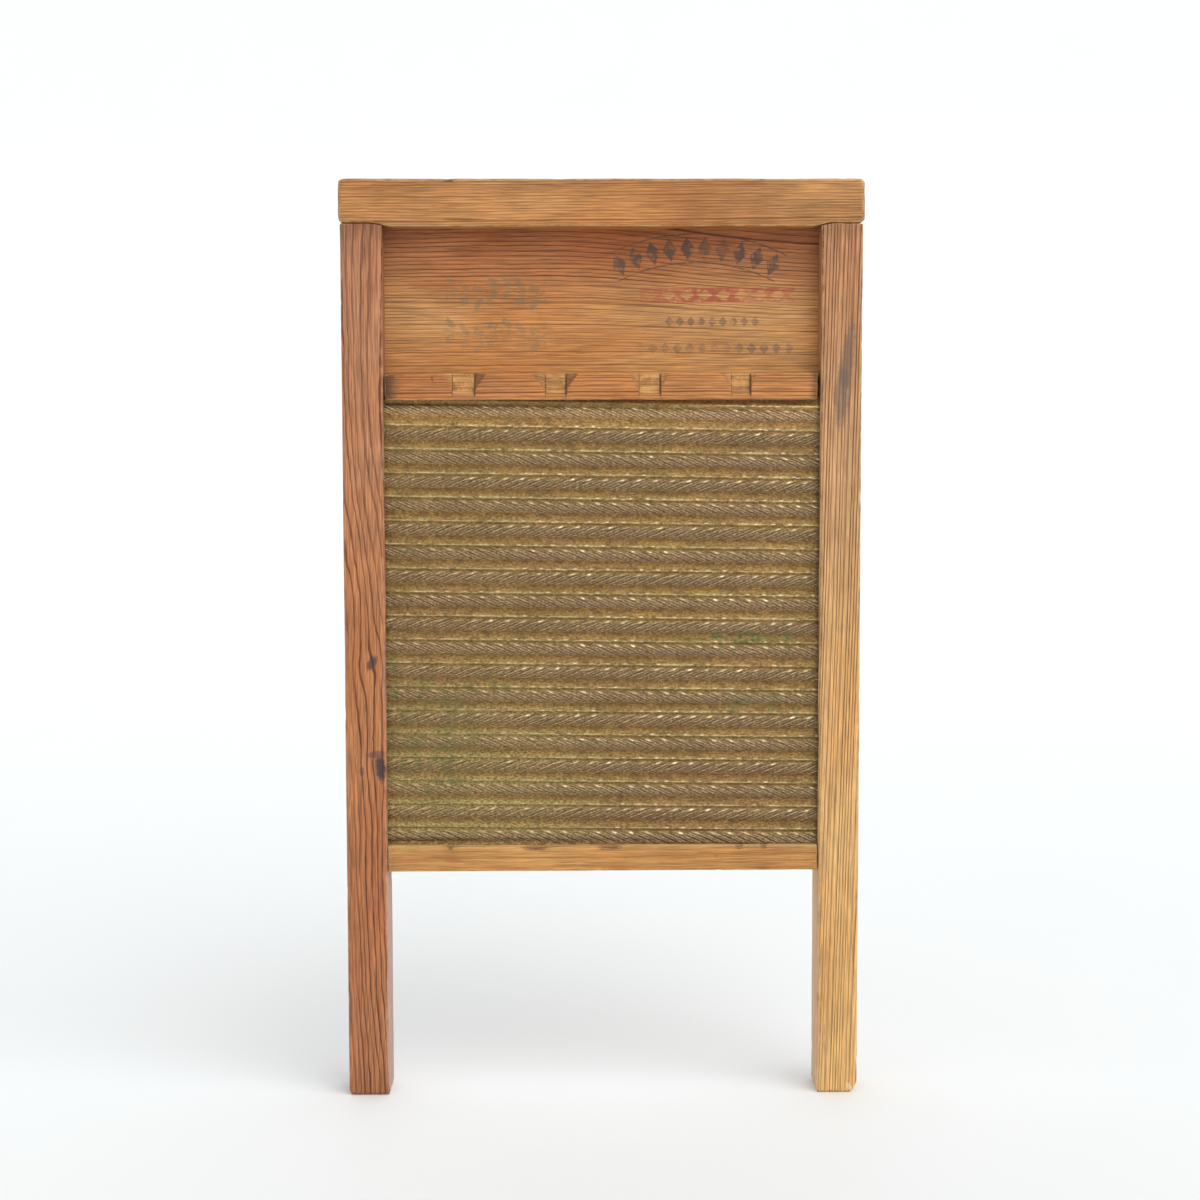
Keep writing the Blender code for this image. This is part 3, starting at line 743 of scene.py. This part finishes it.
class Wood(Graph):
    """Rings round a pith, cut by the board's faces, with fibres, knots, stains and worn arrises.

    The pith, the rings' width, the knots, wander and swirl are in mm."""

    def __init__(
        self, name, axis, pith, ring, wander, slope, swirl=0.5, late=(0.62, 0.74), knots=(), droop=None
    ):
        super().__init__(name)
        self.along, self.across = (self.z, self.x) if axis == "Z" else (self.x, self.z)
        self.through = self.y
        self.axis = axis
        across = self.across
        for centre, size, pull in knots:
            right = self.across - centre[0] * MM
            first = right / (size[0] * MM)
            second = (self.along - centre[1] * MM) / (size[1] * MM)
            near = maths("EXPONENT", (first * first + second * second) * -1.0)
            across = across - right * near * pull
        long_place = join(self.across, self.through, self.along * 0.16)
        bend = noise(long_place, 28, 2.0) - 0.5
        lean = noise(moved(long_place, 7.3), 24, 1.0) - 0.5
        wave = noise(join(self.across, self.through, self.along * 0.3), 150, 2.0) - 0.5
        across = across + bend * (wander * MM) + self.along * slope + wave * (swirl * MM)
        if droop:
            across = across + droop(self)
        through = self.through + lean * (wander * MM)
        first, second = across - pith[0] * MM, through - pith[1] * MM
        radius = maths("SQRT", first * first + second * second)
        self.fibre_place = join(self.across, self.through, self.along * 0.03)
        self.fibres = noise(self.fibre_place, 1700, 2.0, 0.6)
        self.streaks = noise(self.fibre_place, 620, 3.0, 0.65)
        turns = radius / (ring * MM)
        uneven = (noise_along(turns, 0.31, 2.0) - 0.5) * 1.5
        ragged = (self.streaks - 0.5) * 0.15
        turns = turns + uneven + ragged
        phase = maths("FRACT", turns)
        own = chance(maths("FLOOR", turns))
        rise = ramp(phase, 0.25, 0.8, 0.0, 0.25) + ramp(phase, *late, 0.0, 0.75)
        fall = ramp(phase, 0.91, 0.98, 1.0, 0.0)
        self.late = rise * fall * ramp(own, 0, 1, 0.55, 1.0)

    def stain(self, colour, tint, marks, share=1.0):
        """Mixes tint in at soft ellipses, each a centre and half sizes in mm, a tilt and a strength."""
        for centre, size, tilt, strength in marks:
            mark = self.blot(self.across, self.along, centre, size, tilt)
            colour = mix(mark * share * strength, colour, tint)
        return colour

    def colour(self, early, late, depth, red=0.5, mottle=0.14, fibre=0.24):
        """Early wood crossed by darker late wood, then fibres, pores and broad mottling."""
        long_patch = join(self.across, self.through, self.along * 0.35)
        flush = ramp(noise(moved(long_patch, 3.1), 24, 2.0), 0.4, 0.68)
        redder = mix(1.0, early, (0.98, 0.8, 0.66), "MULTIPLY", self.tree)
        early = mix(flush * red, early, redder)
        dark = mix(1.0, early, late, "MULTIPLY")
        base = mix(self.late * depth, early, dark)
        lines = ramp(self.streaks, 0.52, 0.72)
        base = mix(lines * 0.35 * depth, base, dark)
        broad = ramp(noise(long_patch, 42, 3.0, 0.55), 0.25, 0.75, 1 - mottle, 1 + mottle)
        fine = ramp(self.fibres, 0.33, 0.67, 1 - fibre, 1 + fibre)
        base = shade(base, fine * broad)
        pores = ramp(noise(self.fibre_place, 1000, 1.0), 0.64, 0.72)
        return mix(pores * 0.4, base, shade(base, 0.4))

    def end_grain(self, colour):
        """Darker where the fibres end at the surface."""
        facing = abs(self.normal()[2 if self.axis == "Z" else 0])
        return mix(ramp(facing, 0.55, 0.95), colour, shade(colour, 0.72))

    def wear(self, colour, bare, dirt, arris=0.5):
        """Rubbed arrises, grime beside them and rust round the nails."""
        worn = ramp(noise(self.place, 130, 3.0), 0.35, 0.62)
        colour = mix(self.attribute("arris") * worn * arris, colour, bare)
        patch = ramp(noise(self.place, 60, 4.0, 0.6), 0.52, 0.72)
        colour = mix(self.attribute("edge") * patch * 0.45, colour, mix(1.0, colour, dirt, "MULTIPLY"))
        return mix(self.attribute("nail") * 0.75, colour, (0.05, 0.035, 0.028))

    def wood(self, colour, bump=0.45):
        rough = 0.5 + self.fibres * 0.16 + self.late * -0.05
        height = self.late * 0.45 + self.fibres * 0.35 + self.streaks * 0.4
        self.surface.inputs["Specular IOR Level"].default_value = 0.32
        return self.finish(self.end_grain(colour), rough, height, bump, 0.45 * MM)


def cap_wood():
    graph = Wood("cap_wood", "X", (440, 25), 1.6, 4, -0.008)
    tone = ramp(noise(graph.place, 9, 2.0), 0.3, 0.7)
    tone = tones(tone, ((0.0, (0.4, 0.175, 0.056)), (1.0, (0.53, 0.26, 0.09))))
    colour = graph.colour(tone, (0.5, 0.38, 0.3), 0.9, red=0.9, mottle=0.2)
    marks = (((554.0, -91), (0.9, 3.2), 0, 0.8), ((531.3, -83), (0.8, 15), 0, 0.7))
    colour = graph.stain(colour, (0.11, 0.05, 0.025), marks)
    return graph.wood(graph.wear(colour, (0.66, 0.42, 0.2), (0.5, 0.42, 0.36), 0.8))


def left_post_wood():
    knots = (((-139.5, 266.5), (9, 20), 0.75), ((-134.8, 202.5), (9, 24), 0.75))
    graph = Wood("left_post_wood", "Z", (-96, 42), 2.15, 12.5, 0.05, 3, (0.68, 0.78), knots)
    height = ramp(graph.z, 0.0, 0.53)
    stops = ((0.0, (0.375, 0.145, 0.06)), (0.5, (0.47, 0.19, 0.074)), (1.0, (0.42, 0.19, 0.095)))
    tone = tones(height, stops)
    low_down = ramp(graph.z, 320 * MM, 240 * MM)
    late = mix(low_down, (0.27, 0.18, 0.16), (0.15, 0.075, 0.055))
    plain = low_down * ramp(graph.x, -147 * MM, -152 * MM, 0.0, 0.6)
    colour = graph.colour(tone, late, 1.0 - plain, fibre=0.3)
    knot_marks = (
        ((-139.5, 266.5), (3.0, 5.4), -28, 0.75),
        ((-134.8, 202.5), (3.6, 9.0), 6, 0.9),
        ((-137.5, 211.0), (7.0, 2.4), 8, 0.5),
        ((-146.3, 200.5), (1.8, 3.6), 0, 0.5),
    )
    colour = graph.stain(colour, (0.035, 0.03, 0.038), knot_marks)
    bruise = (((-130.8, 262), (2.4, 27), 0, 0.55),)
    colour = graph.stain(colour, (0.17, 0.1, 0.1), bruise, graph.front())
    colour = painted_light_on_inner_side(graph, colour, 1, (0.56, 0.42, 0.38), 0.5)
    return graph.wood(graph.wear(painted_shade_under_cap(graph, colour), (0.6, 0.35, 0.2), (0.5, 0.4, 0.36)))


def painted_light_on_inner_side(graph, colour, way, pale, strength):
    """Painted light: paler near the foot on the side of a leg that looks to the other one, where light
    glances off it.
    """
    facing = ramp(graph.normal()[0] * way, 0.5, 0.9)
    low_down = ramp(graph.z, 175 * MM, 130 * MM)
    return mix(facing * low_down * strength, colour, pale)


def painted_shade_under_cap(graph, colour):
    """Painted shade on a post just below the cap."""
    return mix(ramp(graph.z, 516 * MM, 526 * MM, 0, 0.4), colour, shade(colour, 0.45))


def right_post_wood():
    graph = Wood("right_post_wood", "Z", (0, 60), 1.85, 2.4, -0.03, 0.2, (0.55, 0.72))
    height = ramp(graph.z, 0.0, 0.53)
    stops = (
        (0.0, (0.735, 0.443, 0.168)),
        (0.55, (0.66, 0.387, 0.158)),
        (0.85, (0.59, 0.325, 0.152)),
        (1.0, (0.515, 0.262, 0.127)),
    )
    tone = tones(height, stops)
    colour = graph.colour(tone, (0.31, 0.22, 0.17), ramp(graph.z, 0.1, 0.28, 0.78, 1.0), mottle=0.1)
    shadows = (((147.2, 450), (4.2, 24), -7, 0.58), ((143.6, 428), (5.2, 22), -4, 0.58))
    colour = graph.stain(colour, (0.13, 0.095, 0.075), shadows, graph.front())
    chip = (((151.2, 3.6), (1.6, 3.2), 30, 0.7),)
    colour = graph.stain(colour, (0.8, 0.6, 0.36), chip)
    colour = painted_light_on_inner_side(graph, colour, -1, (0.68, 0.5, 0.36), 0.35)
    return graph.wood(graph.wear(painted_shade_under_cap(graph, colour), (0.76, 0.5, 0.26), (0.55, 0.45, 0.36)))


def panel_droop(graph):
    """How far the panel's rings sink towards its right end, most of all near the top."""
    return ramp(graph.x, -30 * MM, 150 * MM) * ramp(graph.z, 438 * MM, 530 * MM, 1 * MM, 19 * MM)


def panel_wood():
    graph = Wood("panel_wood", "X", (558, 42), 1.9, 6, -0.008, 0.9, (0.68, 0.8), droop=panel_droop)
    height = ramp(graph.z, 0.435, 0.53)
    stops = ((0.0, (0.55, 0.285, 0.1)), (0.5, (0.55, 0.275, 0.098)), (1.0, (0.38, 0.137, 0.048)))
    tone = tones(height, stops)
    clear = ramp(graph.z, 440 * MM, 505 * MM, 0.62, 1.0)
    colour = graph.colour(tone, (0.3, 0.2, 0.17), clear, red=1.0)
    return graph.wood(graph.wear(printed(graph, colour), (0.52, 0.29, 0.14), (0.5, 0.42, 0.36)))


def printed(graph, colour):
    """A generic print, nearly worn off: an arch, rows of lozenges, a red band and two leafy stems."""
    right, up = graph.x - PRINT_CENTRE[0], graph.z - PRINT_CENTRE[1]
    rubbed = ramp(noise(graph.place, 210, 4.0, 0.7), 0.33, 0.53)
    rubbed = rubbed * ramp(noise(graph.place, 30, 2.0), 0.3, 0.56, 0.3, 1.0) * graph.front()
    radius = maths("SQRT", right * right + up * up)
    angle = maths("ARCTAN2", right, up)

    def lozenges(run, step, drop, half_height):
        """A row of diamonds, one at each whole number of steps."""
        along = abs(maths("FRACT", run / step) - 0.5)
        down = abs(drop) / half_height
        return ramp(along * 2.4 + down, 1.1, 0.85)

    def between(value, low, high, soft):
        return ramp(value, low - soft, low + soft) * ramp(value, high - soft, high + soft, 1, 0)

    arch = lozenges(angle, 0.094, radius - ARCH_RADIUS, 7.4 * MM)
    inner_line = between(radius, ARCH_RADIUS - 9.0 * MM, ARCH_RADIUS - 8.2 * MM, 0.2 * MM)
    edges = inner_line + between(radius, ARCH_RADIUS + 8.2 * MM, ARCH_RADIUS + 9.0 * MM, 0.2 * MM)
    arch = maths("MAXIMUM", arch, edges) * between(angle, -0.47, 0.47, 0.01)
    band = between(graph.z, 483.5 * MM, 492.5 * MM, 0.4 * MM)
    cut_out = lozenges(right, 11 * MM, graph.z - 488 * MM, 3.4 * MM)
    band = band * (1 - cut_out) * between(right, -34 * MM, 60 * MM, 0.5 * MM)
    upper = lozenges(right, 6.5 * MM, graph.z - 472 * MM, 3.2 * MM)
    lower = lozenges(right, 7.5 * MM, graph.z - 456 * MM, 3.6 * MM)
    upper = upper * between(right, -20 * MM, 38 * MM, 0.5 * MM)
    lower = lower * between(right, -38 * MM, 60 * MM, 0.5 * MM)
    rules = upper + lower
    sway = maths("SINE", graph.x * (2 * pi / (34 * MM))) * (3 * MM)
    sprig = 0.0
    for height in (464 * MM, 490 * MM):
        drop = graph.z - (sway + height)
        stem = between(drop, -0.5 * MM, 0.5 * MM, 0.2 * MM)
        leaves = lozenges(graph.x + drop * 0.5, 8.5 * MM, drop - 4.5 * MM, 4.0 * MM)
        leaves = leaves + lozenges(graph.x + drop * -0.5, 8.5 * MM, drop + 4.5 * MM, 4.0 * MM)
        sprig = maths("MAXIMUM", sprig, maths("MAXIMUM", stem, leaves))
    sprig = sprig * between(graph.x, -96 * MM, -34 * MM, 1 * MM)
    for mask, ink, strength in (
        (arch, (0.085, 0.055, 0.042), 0.9),
        (band, (0.36, 0.05, 0.032), 0.75),
        (rules, (0.11, 0.075, 0.06), 0.6),
        (sprig, (0.16, 0.14, 0.08), 0.5),
    ):
        colour = mix(mask * rubbed * strength, colour, ink)
    return colour


def rail_wood(name, tone, late, carved, pith, ring, depth, bare, marks=()):
    graph = Wood(name, "X", pith, ring, 4, -0.006)
    colour = graph.colour(tone, late, depth, red=0.8)
    fresh = shade(carved, ramp(graph.streaks, 0.36, 0.64, 0.45, 1.35))
    colour = mix(graph.attribute("carved") * 0.6, colour, fresh)
    pits = ramp(noise(graph.place, 1100, 2.0), 0.5, 0.62)
    # Dark marks: painted shade and darker end grain on the drain rail's slanting cuts, dirt and painted
    # shade at its ends, dirt in the bottom rail's nicks.
    facing = graph.attribute("dark_marks_and_painted_shade")
    colour = mix(facing * 0.8, colour, (0.19, 0.08, 0.028))
    colour = mix(maths("SQRT", facing) * pits * 0.55, colour, (0.09, 0.045, 0.03))
    if name == "drain_wood":
        # Darker ends beside the posts: dirt and painted shade.
        ends_dirt_and_shade = ramp(graph.x, -130 * MM, -121 * MM, 0.42, 1.0)
        colour = shade(colour, ends_dirt_and_shade * ramp(graph.x, 123 * MM, 129.5 * MM, 1.0, 0.6))
        # Painted shadow lines along the walls of each channel, darker along its right wall, in the upper
        # part of the rail.
        for centre, width, *_ in CHANNELS:
            for way, reach, strength in ((1, 0.9 * MM, 0.75), (-1, 0.45 * MM, 0.5)):
                gap = abs(graph.x - (centre + way * width / 2))
                line = ramp(gap, reach, 0.3 * reach) * ramp(graph.z, 425 * MM, 428.5 * MM)
                colour = mix(line * strength, colour, (0.1, 0.045, 0.02))
    colour = graph.stain(colour, (0.42, 0.1, 0.04), marks, graph.front())
    return graph.wood(graph.wear(colour, bare, (0.45, 0.36, 0.3), 0.8))


def slat_wood():
    graph = Wood("slat_wood", "X", (250, 90), 2.2, 8, 0.0)
    colour = graph.colour((0.4, 0.23, 0.11), (0.55, 0.42, 0.34), 0.8, mottle=0.2)
    return graph.wood(graph.wear(colour, (0.5, 0.32, 0.18), (0.5, 0.42, 0.36)), 0.7)


def stamp_row(along, drop, length, thickness):
    """1 in the middle of each long stamp of a row; along runs from -0.5 to 0.5 of STAMP_STEP."""
    first = along * (STAMP_STEP / (length / 2))
    second = drop / (thickness / 2)
    gap = abs(first) ** 3.0 + second * second
    return maths("EXPONENT", gap * -1.2)


def brass_material():
    """Oxidised brass: grey-brown ropes, gold in the valleys and some green, with painted highlights on
    creases, stamps and strands, and painted shade in hollows and below the drain rail.
    """
    graph = Graph("aged_brass")
    rope, phase, faded = graph.attribute("rope"), graph.attribute("strand"), graph.attribute("faded")
    down = graph.attribute("down")
    sway = (noise(join(graph.x, 0, down), 95, 2.0) - 0.5) * 0.045
    rib = maths("FLOOR", down + 0.5)
    from_crease = (down - rib + sway) * RIB_PITCH
    own_rib = maths("FLOOR", down)
    across = down - own_rib
    odd = maths("FLOORED_MODULO", own_rib, 2.0)
    hand = 1 - odd * 2
    run = graph.x / STAMP_STEP + odd * 0.5 + chance(own_rib) * 0.35
    along = maths("FRACT", run) - 0.5
    beside = maths("FRACT", run + 0.4) - 0.5
    grain = noise(graph.place, 900, 3.0, 0.65)
    dents = noise(join(graph.x, 0, graph.z * 2.5), 260, 3.0, 0.6)
    patch = noise(graph.place, 55, 4.0, 0.6)
    broad = noise(graph.place, 14, 2.0)
    # Colour across a rib: the brass's own tones, darkened as painted shade in the groove just below each
    # crease (0.09) and below each rope (0.74).
    rib_tones_and_shade = (
        (0.0, (0.34, 0.22, 0.076)),
        (0.09, (0.232, 0.138, 0.038)),
        (0.2, (0.27, 0.172, 0.066)),
        (0.32, (0.245, 0.15, 0.063)),
        (0.55, (0.345, 0.21, 0.085)),
        (0.66, (0.36, 0.2, 0.06)),
        (0.74, (0.25, 0.14, 0.036)),
        (0.84, (0.285, 0.17, 0.049)),
        (0.97, (0.29, 0.187, 0.06)),
    )
    colour = tones(across + (dents - 0.5) * 0.12, rib_tones_and_shade)
    colour = mix(ramp(broad, 0.48, 0.66) * 0.3, colour, (0.3, 0.15, 0.07))
    purple = rope * ramp(graph.x, -0.13, 0.06, 0.15, 0.6) * ramp(patch, 0.3, 0.6, 0.5, 1.0)
    colour = mix(purple, colour, (0.25, 0.16, 0.088))
    # Painted shade just below each rope.
    painted_shade_under_rope = ramp(abs(across - 0.655), 0.055, 0.015)
    colour = mix(painted_shade_under_rope * 0.3, colour, (0.12, 0.066, 0.02))
    colour = shade(colour, ramp(patch, 0.25, 0.75, 0.78, 1.08))
    top = abs(maths("COSINE", phase * pi))
    wires = ramp(maths("COSINE", (phase + dents * 0.25) * (4 * pi)), -1, 1)
    worn = ramp(dents, 0.34, 0.64, 0.12, 1.0)
    # Painted shade in the gaps between strands, strongest on the upper part of each rope, and in the
    # dark lines between the wires.
    gap = rope * worn * ramp(top, 0.5, 0.12)
    upper = ramp(across, 0.42, 0.2, 0.35, 1.0)
    colour = mix(gap * upper * 0.9, colour, (0.075, 0.045, 0.015))
    colour = mix(rope * worn * ramp(wires, 0.5, 0.0) * 0.78, colour, (0.105, 0.064, 0.024))
    # Painted highlight along the top of each strand, strongest near the top of each rope.
    crest = ramp(across, 0.5, 0.22, 0.6, 1.0)
    painted_strand_highlight = rope * ramp(top, 0.3, 1.0, 0.5, 1.0) * ramp(wires, 0.5, 1.0) * worn * crest
    colour = mix(painted_strand_highlight * 0.85, colour, (0.6, 0.44, 0.235))
    specks = noise(join(graph.x * 0.45, 0, graph.z), 1100, 2.0)
    colour = shade(colour, ramp(specks, 0.35, 0.65, 0.68, 1.32))
    rubbed = ramp(noise(join(graph.x * 0.4, 0, graph.z), 330, 3.0, 0.6), 0.5, 0.62)
    colour = mix(rubbed * (1 - rope * 0.6) * 0.55, colour, (0.13, 0.07, 0.022))
    # Painted shade in the row of pressed dashes below each rope.
    lens_drop = (across - LENS_PLACE) * RIB_PITCH
    lens = stamp_row(beside, lens_drop, 7.0 * MM, 1.3 * MM)
    colour = mix(lens * worn * 0.85, colour, (0.1, 0.055, 0.016))
    # Painted highlights on the domes at the top of each rope: a short spot on a longer tail.
    slant = hand * along * (STAMP_STEP * 0.27)
    dash_drop = (across - DASH_PLACE) * RIB_PITCH + slant
    glow = noise(join(graph.x, 0, own_rib * 0.031), 38, 2.0)
    glow = ramp(glow, 0.36, 0.56, 0.2, 1.0) * ramp(graph.x, -0.1, -0.02, 0.6, 1.0)
    tail = stamp_row(along, dash_drop, 7.5 * MM, 0.7 * MM) * 0.42
    spot = stamp_row(along, dash_drop, 3.4 * MM, 1.25 * MM) * glow
    dash = maths("MAXIMUM", tail, spot) * faded
    # Painted shadow just below each dash.
    painted_shadow_under_dash = stamp_row(along, dash_drop - 0.9 * MM, 7 * MM, 0.9 * MM) * faded
    colour = mix(painted_shadow_under_dash * 0.7, colour, (0.085, 0.052, 0.018))
    # Painted highlight along each crease: a thin line of uneven thickness, broken in places, with beads
    # at the stamp step.
    thick = ramp(noise(join(graph.x, 0, rib * 1.3), 34, 2.0), 0.4, 0.66, 0.8, 1.7)
    line = maths("DIVIDE", from_crease, thick * (0.42 * MM))
    line = maths("EXPONENT", line * line * -1.0)
    broken = ramp(noise(join(graph.x, 0, rib * 0.7), 60, 3.0, 0.6), 0.4, 0.6, 0.12, 1.0)
    bead_x = maths("FRACT", run + 0.47) - 0.5
    bead = stamp_row(bead_x, from_crease, 3.0 * MM, 1.5 * MM) * glow
    glint = maths("MAXIMUM", line * broken * 0.72, bead)
    glint = maths("MAXIMUM", glint, dash * ramp(dents, 0.3, 0.6, 0.6, 1.0))
    # Painted shade on the strip of sheet just below the drain rail, where no highlight is painted.
    painted_shade_under_rail = ramp(graph.z, 420.6 * MM, 421.8 * MM)
    glint = glint * (1 - painted_shade_under_rail)
    colour = mix(painted_shade_under_rail * 0.4, colour, (0.08, 0.05, 0.02))
    # The painted highlights, mixed in with a pale gold that is palest on the beads and spots; they also
    # make the metal smoother and more metallic.
    painted_highlight_mask = glint * ramp(grain, 0.25, 0.5, 0.6, 1.0)
    gold = mix(maths("MAXIMUM", bead, spot), (0.86, 0.64, 0.3), (1.0, 0.88, 0.62))
    colour = mix(painted_highlight_mask, colour, gold)
    corner = ramp(graph.x, 0.03, -0.07) * ramp(graph.z, 0.3, 0.18)
    mossy = mix(ramp(specks, 0.4, 0.6), (0.2, 0.16, 0.045), (0.5, 0.4, 0.15))
    pale = ramp(abs(from_crease), 3.2 * MM, 1.2 * MM, 0.25, 1.0)
    colour = mix(corner * pale * 0.55, colour, mossy)
    green = ramp(noise(graph.place, 110, 4.0, 0.65), 0.45, 0.57)
    zones = 0.0
    for centre, size, strength in (
        ((88, 280.5), (44, 4.2), 0.9),
        ((-102, 215), (30, 44), 0.52),
        ((-128, 250), (5, 22), 0.75),
        ((-70, 252), (18, 7), 0.6),
        ((95, 240), (32, 9), 0.45),
    ):
        zone = graph.blot(graph.x, graph.z, centre, size) * strength
        zones = maths("MAXIMUM", zones, zone)
    tint = mix(ramp(dents, 0.4, 0.6), (0.085, 0.09, 0.03), (0.2, 0.19, 0.055))
    colour = mix(zones * green, colour, tint)
    colour = shade(colour, ramp(grain, 0.3, 0.7, 0.8, 1.2))
    # Painted light on the top ropes, lifting them out of the drain rail's shade.
    colour = shade(colour, ramp(graph.z, 402 * MM, 418 * MM, 1.0, 1.5))
    metallic = 0.6 + painted_highlight_mask * 0.4 + rope * -0.1
    rough = 0.46 + painted_highlight_mask * -0.14 + rope * 0.05 + grain * 0.1
    height = rope * wires * 0.6 + grain * 0.35 + dents * 0.5
    return graph.finish(colour, rough, height + glint, 0.7, 0.35 * MM, metallic)


def iron_material():
    """Dull nail iron with rust in its hammer marks."""
    graph = Graph("nail_iron")
    rust = ramp(noise(graph.place, 900, 4.0, 0.65), 0.42, 0.62)
    colour = mix(rust, (0.12, 0.105, 0.1), (0.19, 0.085, 0.04))
    rough = 0.45 + rust * 0.35
    metallic = ramp(rust, 0, 1, 0.85, 0.15)
    return graph.finish(colour, rough, noise(graph.place, 1600, 3.0), 0.5, 0.2 * MM, metallic)


# ---------------------------------------------------------------- stage


def make_backdrop():
    """A pale floor that curves up into a wall far behind the board."""
    graph = Graph("pale_floor")
    speck = noise(graph.place, 6, 3.0)
    colour = mix(speck, (0.88, 0.9, 0.905), (0.9, 0.92, 0.925))
    graph.finish(colour, ramp(speck, 0, 1, 0.6, 0.7), speck, 0.02, MM)
    turn = np.linspace(0, pi / 2, 24)
    bend_y = SWEEP_START + SWEEP_RADIUS * np.sin(turn)
    bend_z = SWEEP_RADIUS * (1 - np.cos(turn))
    y, z = np.array([-6, *bend_y, bend_y[-1]]), np.array([0, *bend_z, 5])
    points = np.array([(x, b, c) for b, c in zip(y, z) for x in (-8, 8)])
    faces = [[2 * i, 2 * i + 1, 2 * i + 3, 2 * i + 2] for i in range(len(y) - 1)]
    floor = make_object("floor", points, faces, {}, graph.material)
    floor.data.shade_smooth()


def make_stage():
    make_backdrop()
    scene = bpy.context.scene
    world = bpy.data.worlds.new("studio")
    world.use_nodes = True
    background = world.node_tree.nodes["Background"]
    background.inputs["Color"].default_value = (0.98, 0.99, 1.0, 1.0)
    background.inputs["Strength"].default_value = WORLD_STRENGTH
    scene.world = world
    lamp = bpy.data.lights.new("window", "SUN")
    lamp.angle = radians(62)
    lamp.energy = WINDOW_STRENGTH
    lamp.color = (1.0, 0.985, 0.965)
    window = bpy.data.objects.new("window", lamp)
    window.rotation_euler = (-Vector(WINDOW_WAY)).to_track_quat("-Z", "Y").to_euler()
    scene.collection.objects.link(window)
    camera = bpy.data.cameras.new("camera")
    camera.lens = LENS
    camera.sensor_width = SENSOR
    obj = bpy.data.objects.new("camera", camera)
    aim = Matrix.Rotation(radians(-CAMERA_TURN), 4, "Z")
    aim = aim @ Matrix.Rotation(radians(90 - CAMERA_DIP), 4, "X")
    aim = aim @ Matrix.Rotation(radians(CAMERA_ROLL), 4, "Z")
    obj.matrix_world = Matrix.Translation(CAMERA_PLACE) @ aim
    scene.collection.objects.link(obj)
    scene.camera = obj
    scene.view_settings.view_transform = "Standard"


make_cap(cap_wood())
corners, feet = (1.8, 3.0, 1.6, 1.5), ((1.2, 4), (0.7, 2))
make_post("left_post", -1, corners, feet, left_post_wood(), 21)
corners, feet = (3.0, 2.0, 1.5, 1.6), ((0.8, 2.5), (4.3, 6.5))
make_post("right_post", 1, corners, feet, right_post_wood(), 25)
make_panel(panel_wood())
tone, late, carved, bare = (0.5, 0.21, 0.066), (0.42, 0.32, 0.27), (0.6, 0.33, 0.11), (0.62, 0.36, 0.15)
make_drain_rail(rail_wood("drain_wood", tone, late, carved, (520, 40), 1.8, 1.0, bare))
tone, late, carved, bare = (0.495, 0.25, 0.076), (0.6, 0.48, 0.38), (0.62, 0.42, 0.2), (0.6, 0.42, 0.2)
red_marks = (
    ((145.6, -116), (1.3, 13), 0, 0.5),
    ((145.2, -91), (1.6, 6), 0, 0.5),
    ((140.6, -60), (1.0, 22), 0, 0.5),
    ((141.0, 12), (1.0, 14), 0, 0.5),
)
make_bottom_rail(rail_wood("foot_rail_wood", tone, late, carved, (230, 70), 3.1, 0.5, bare, red_marks))
slat_material = slat_wood()
for seed, word in ((71, "top"), (75, "middle"), (79, "bottom")):
    make_slat("back_slat_" + word, slat_material, seed)
make_sheet(brass_material())
iron = iron_material()
for seed, name in enumerate(NAILS, 90):
    make_nail(name, iron, seed)
make_stage()
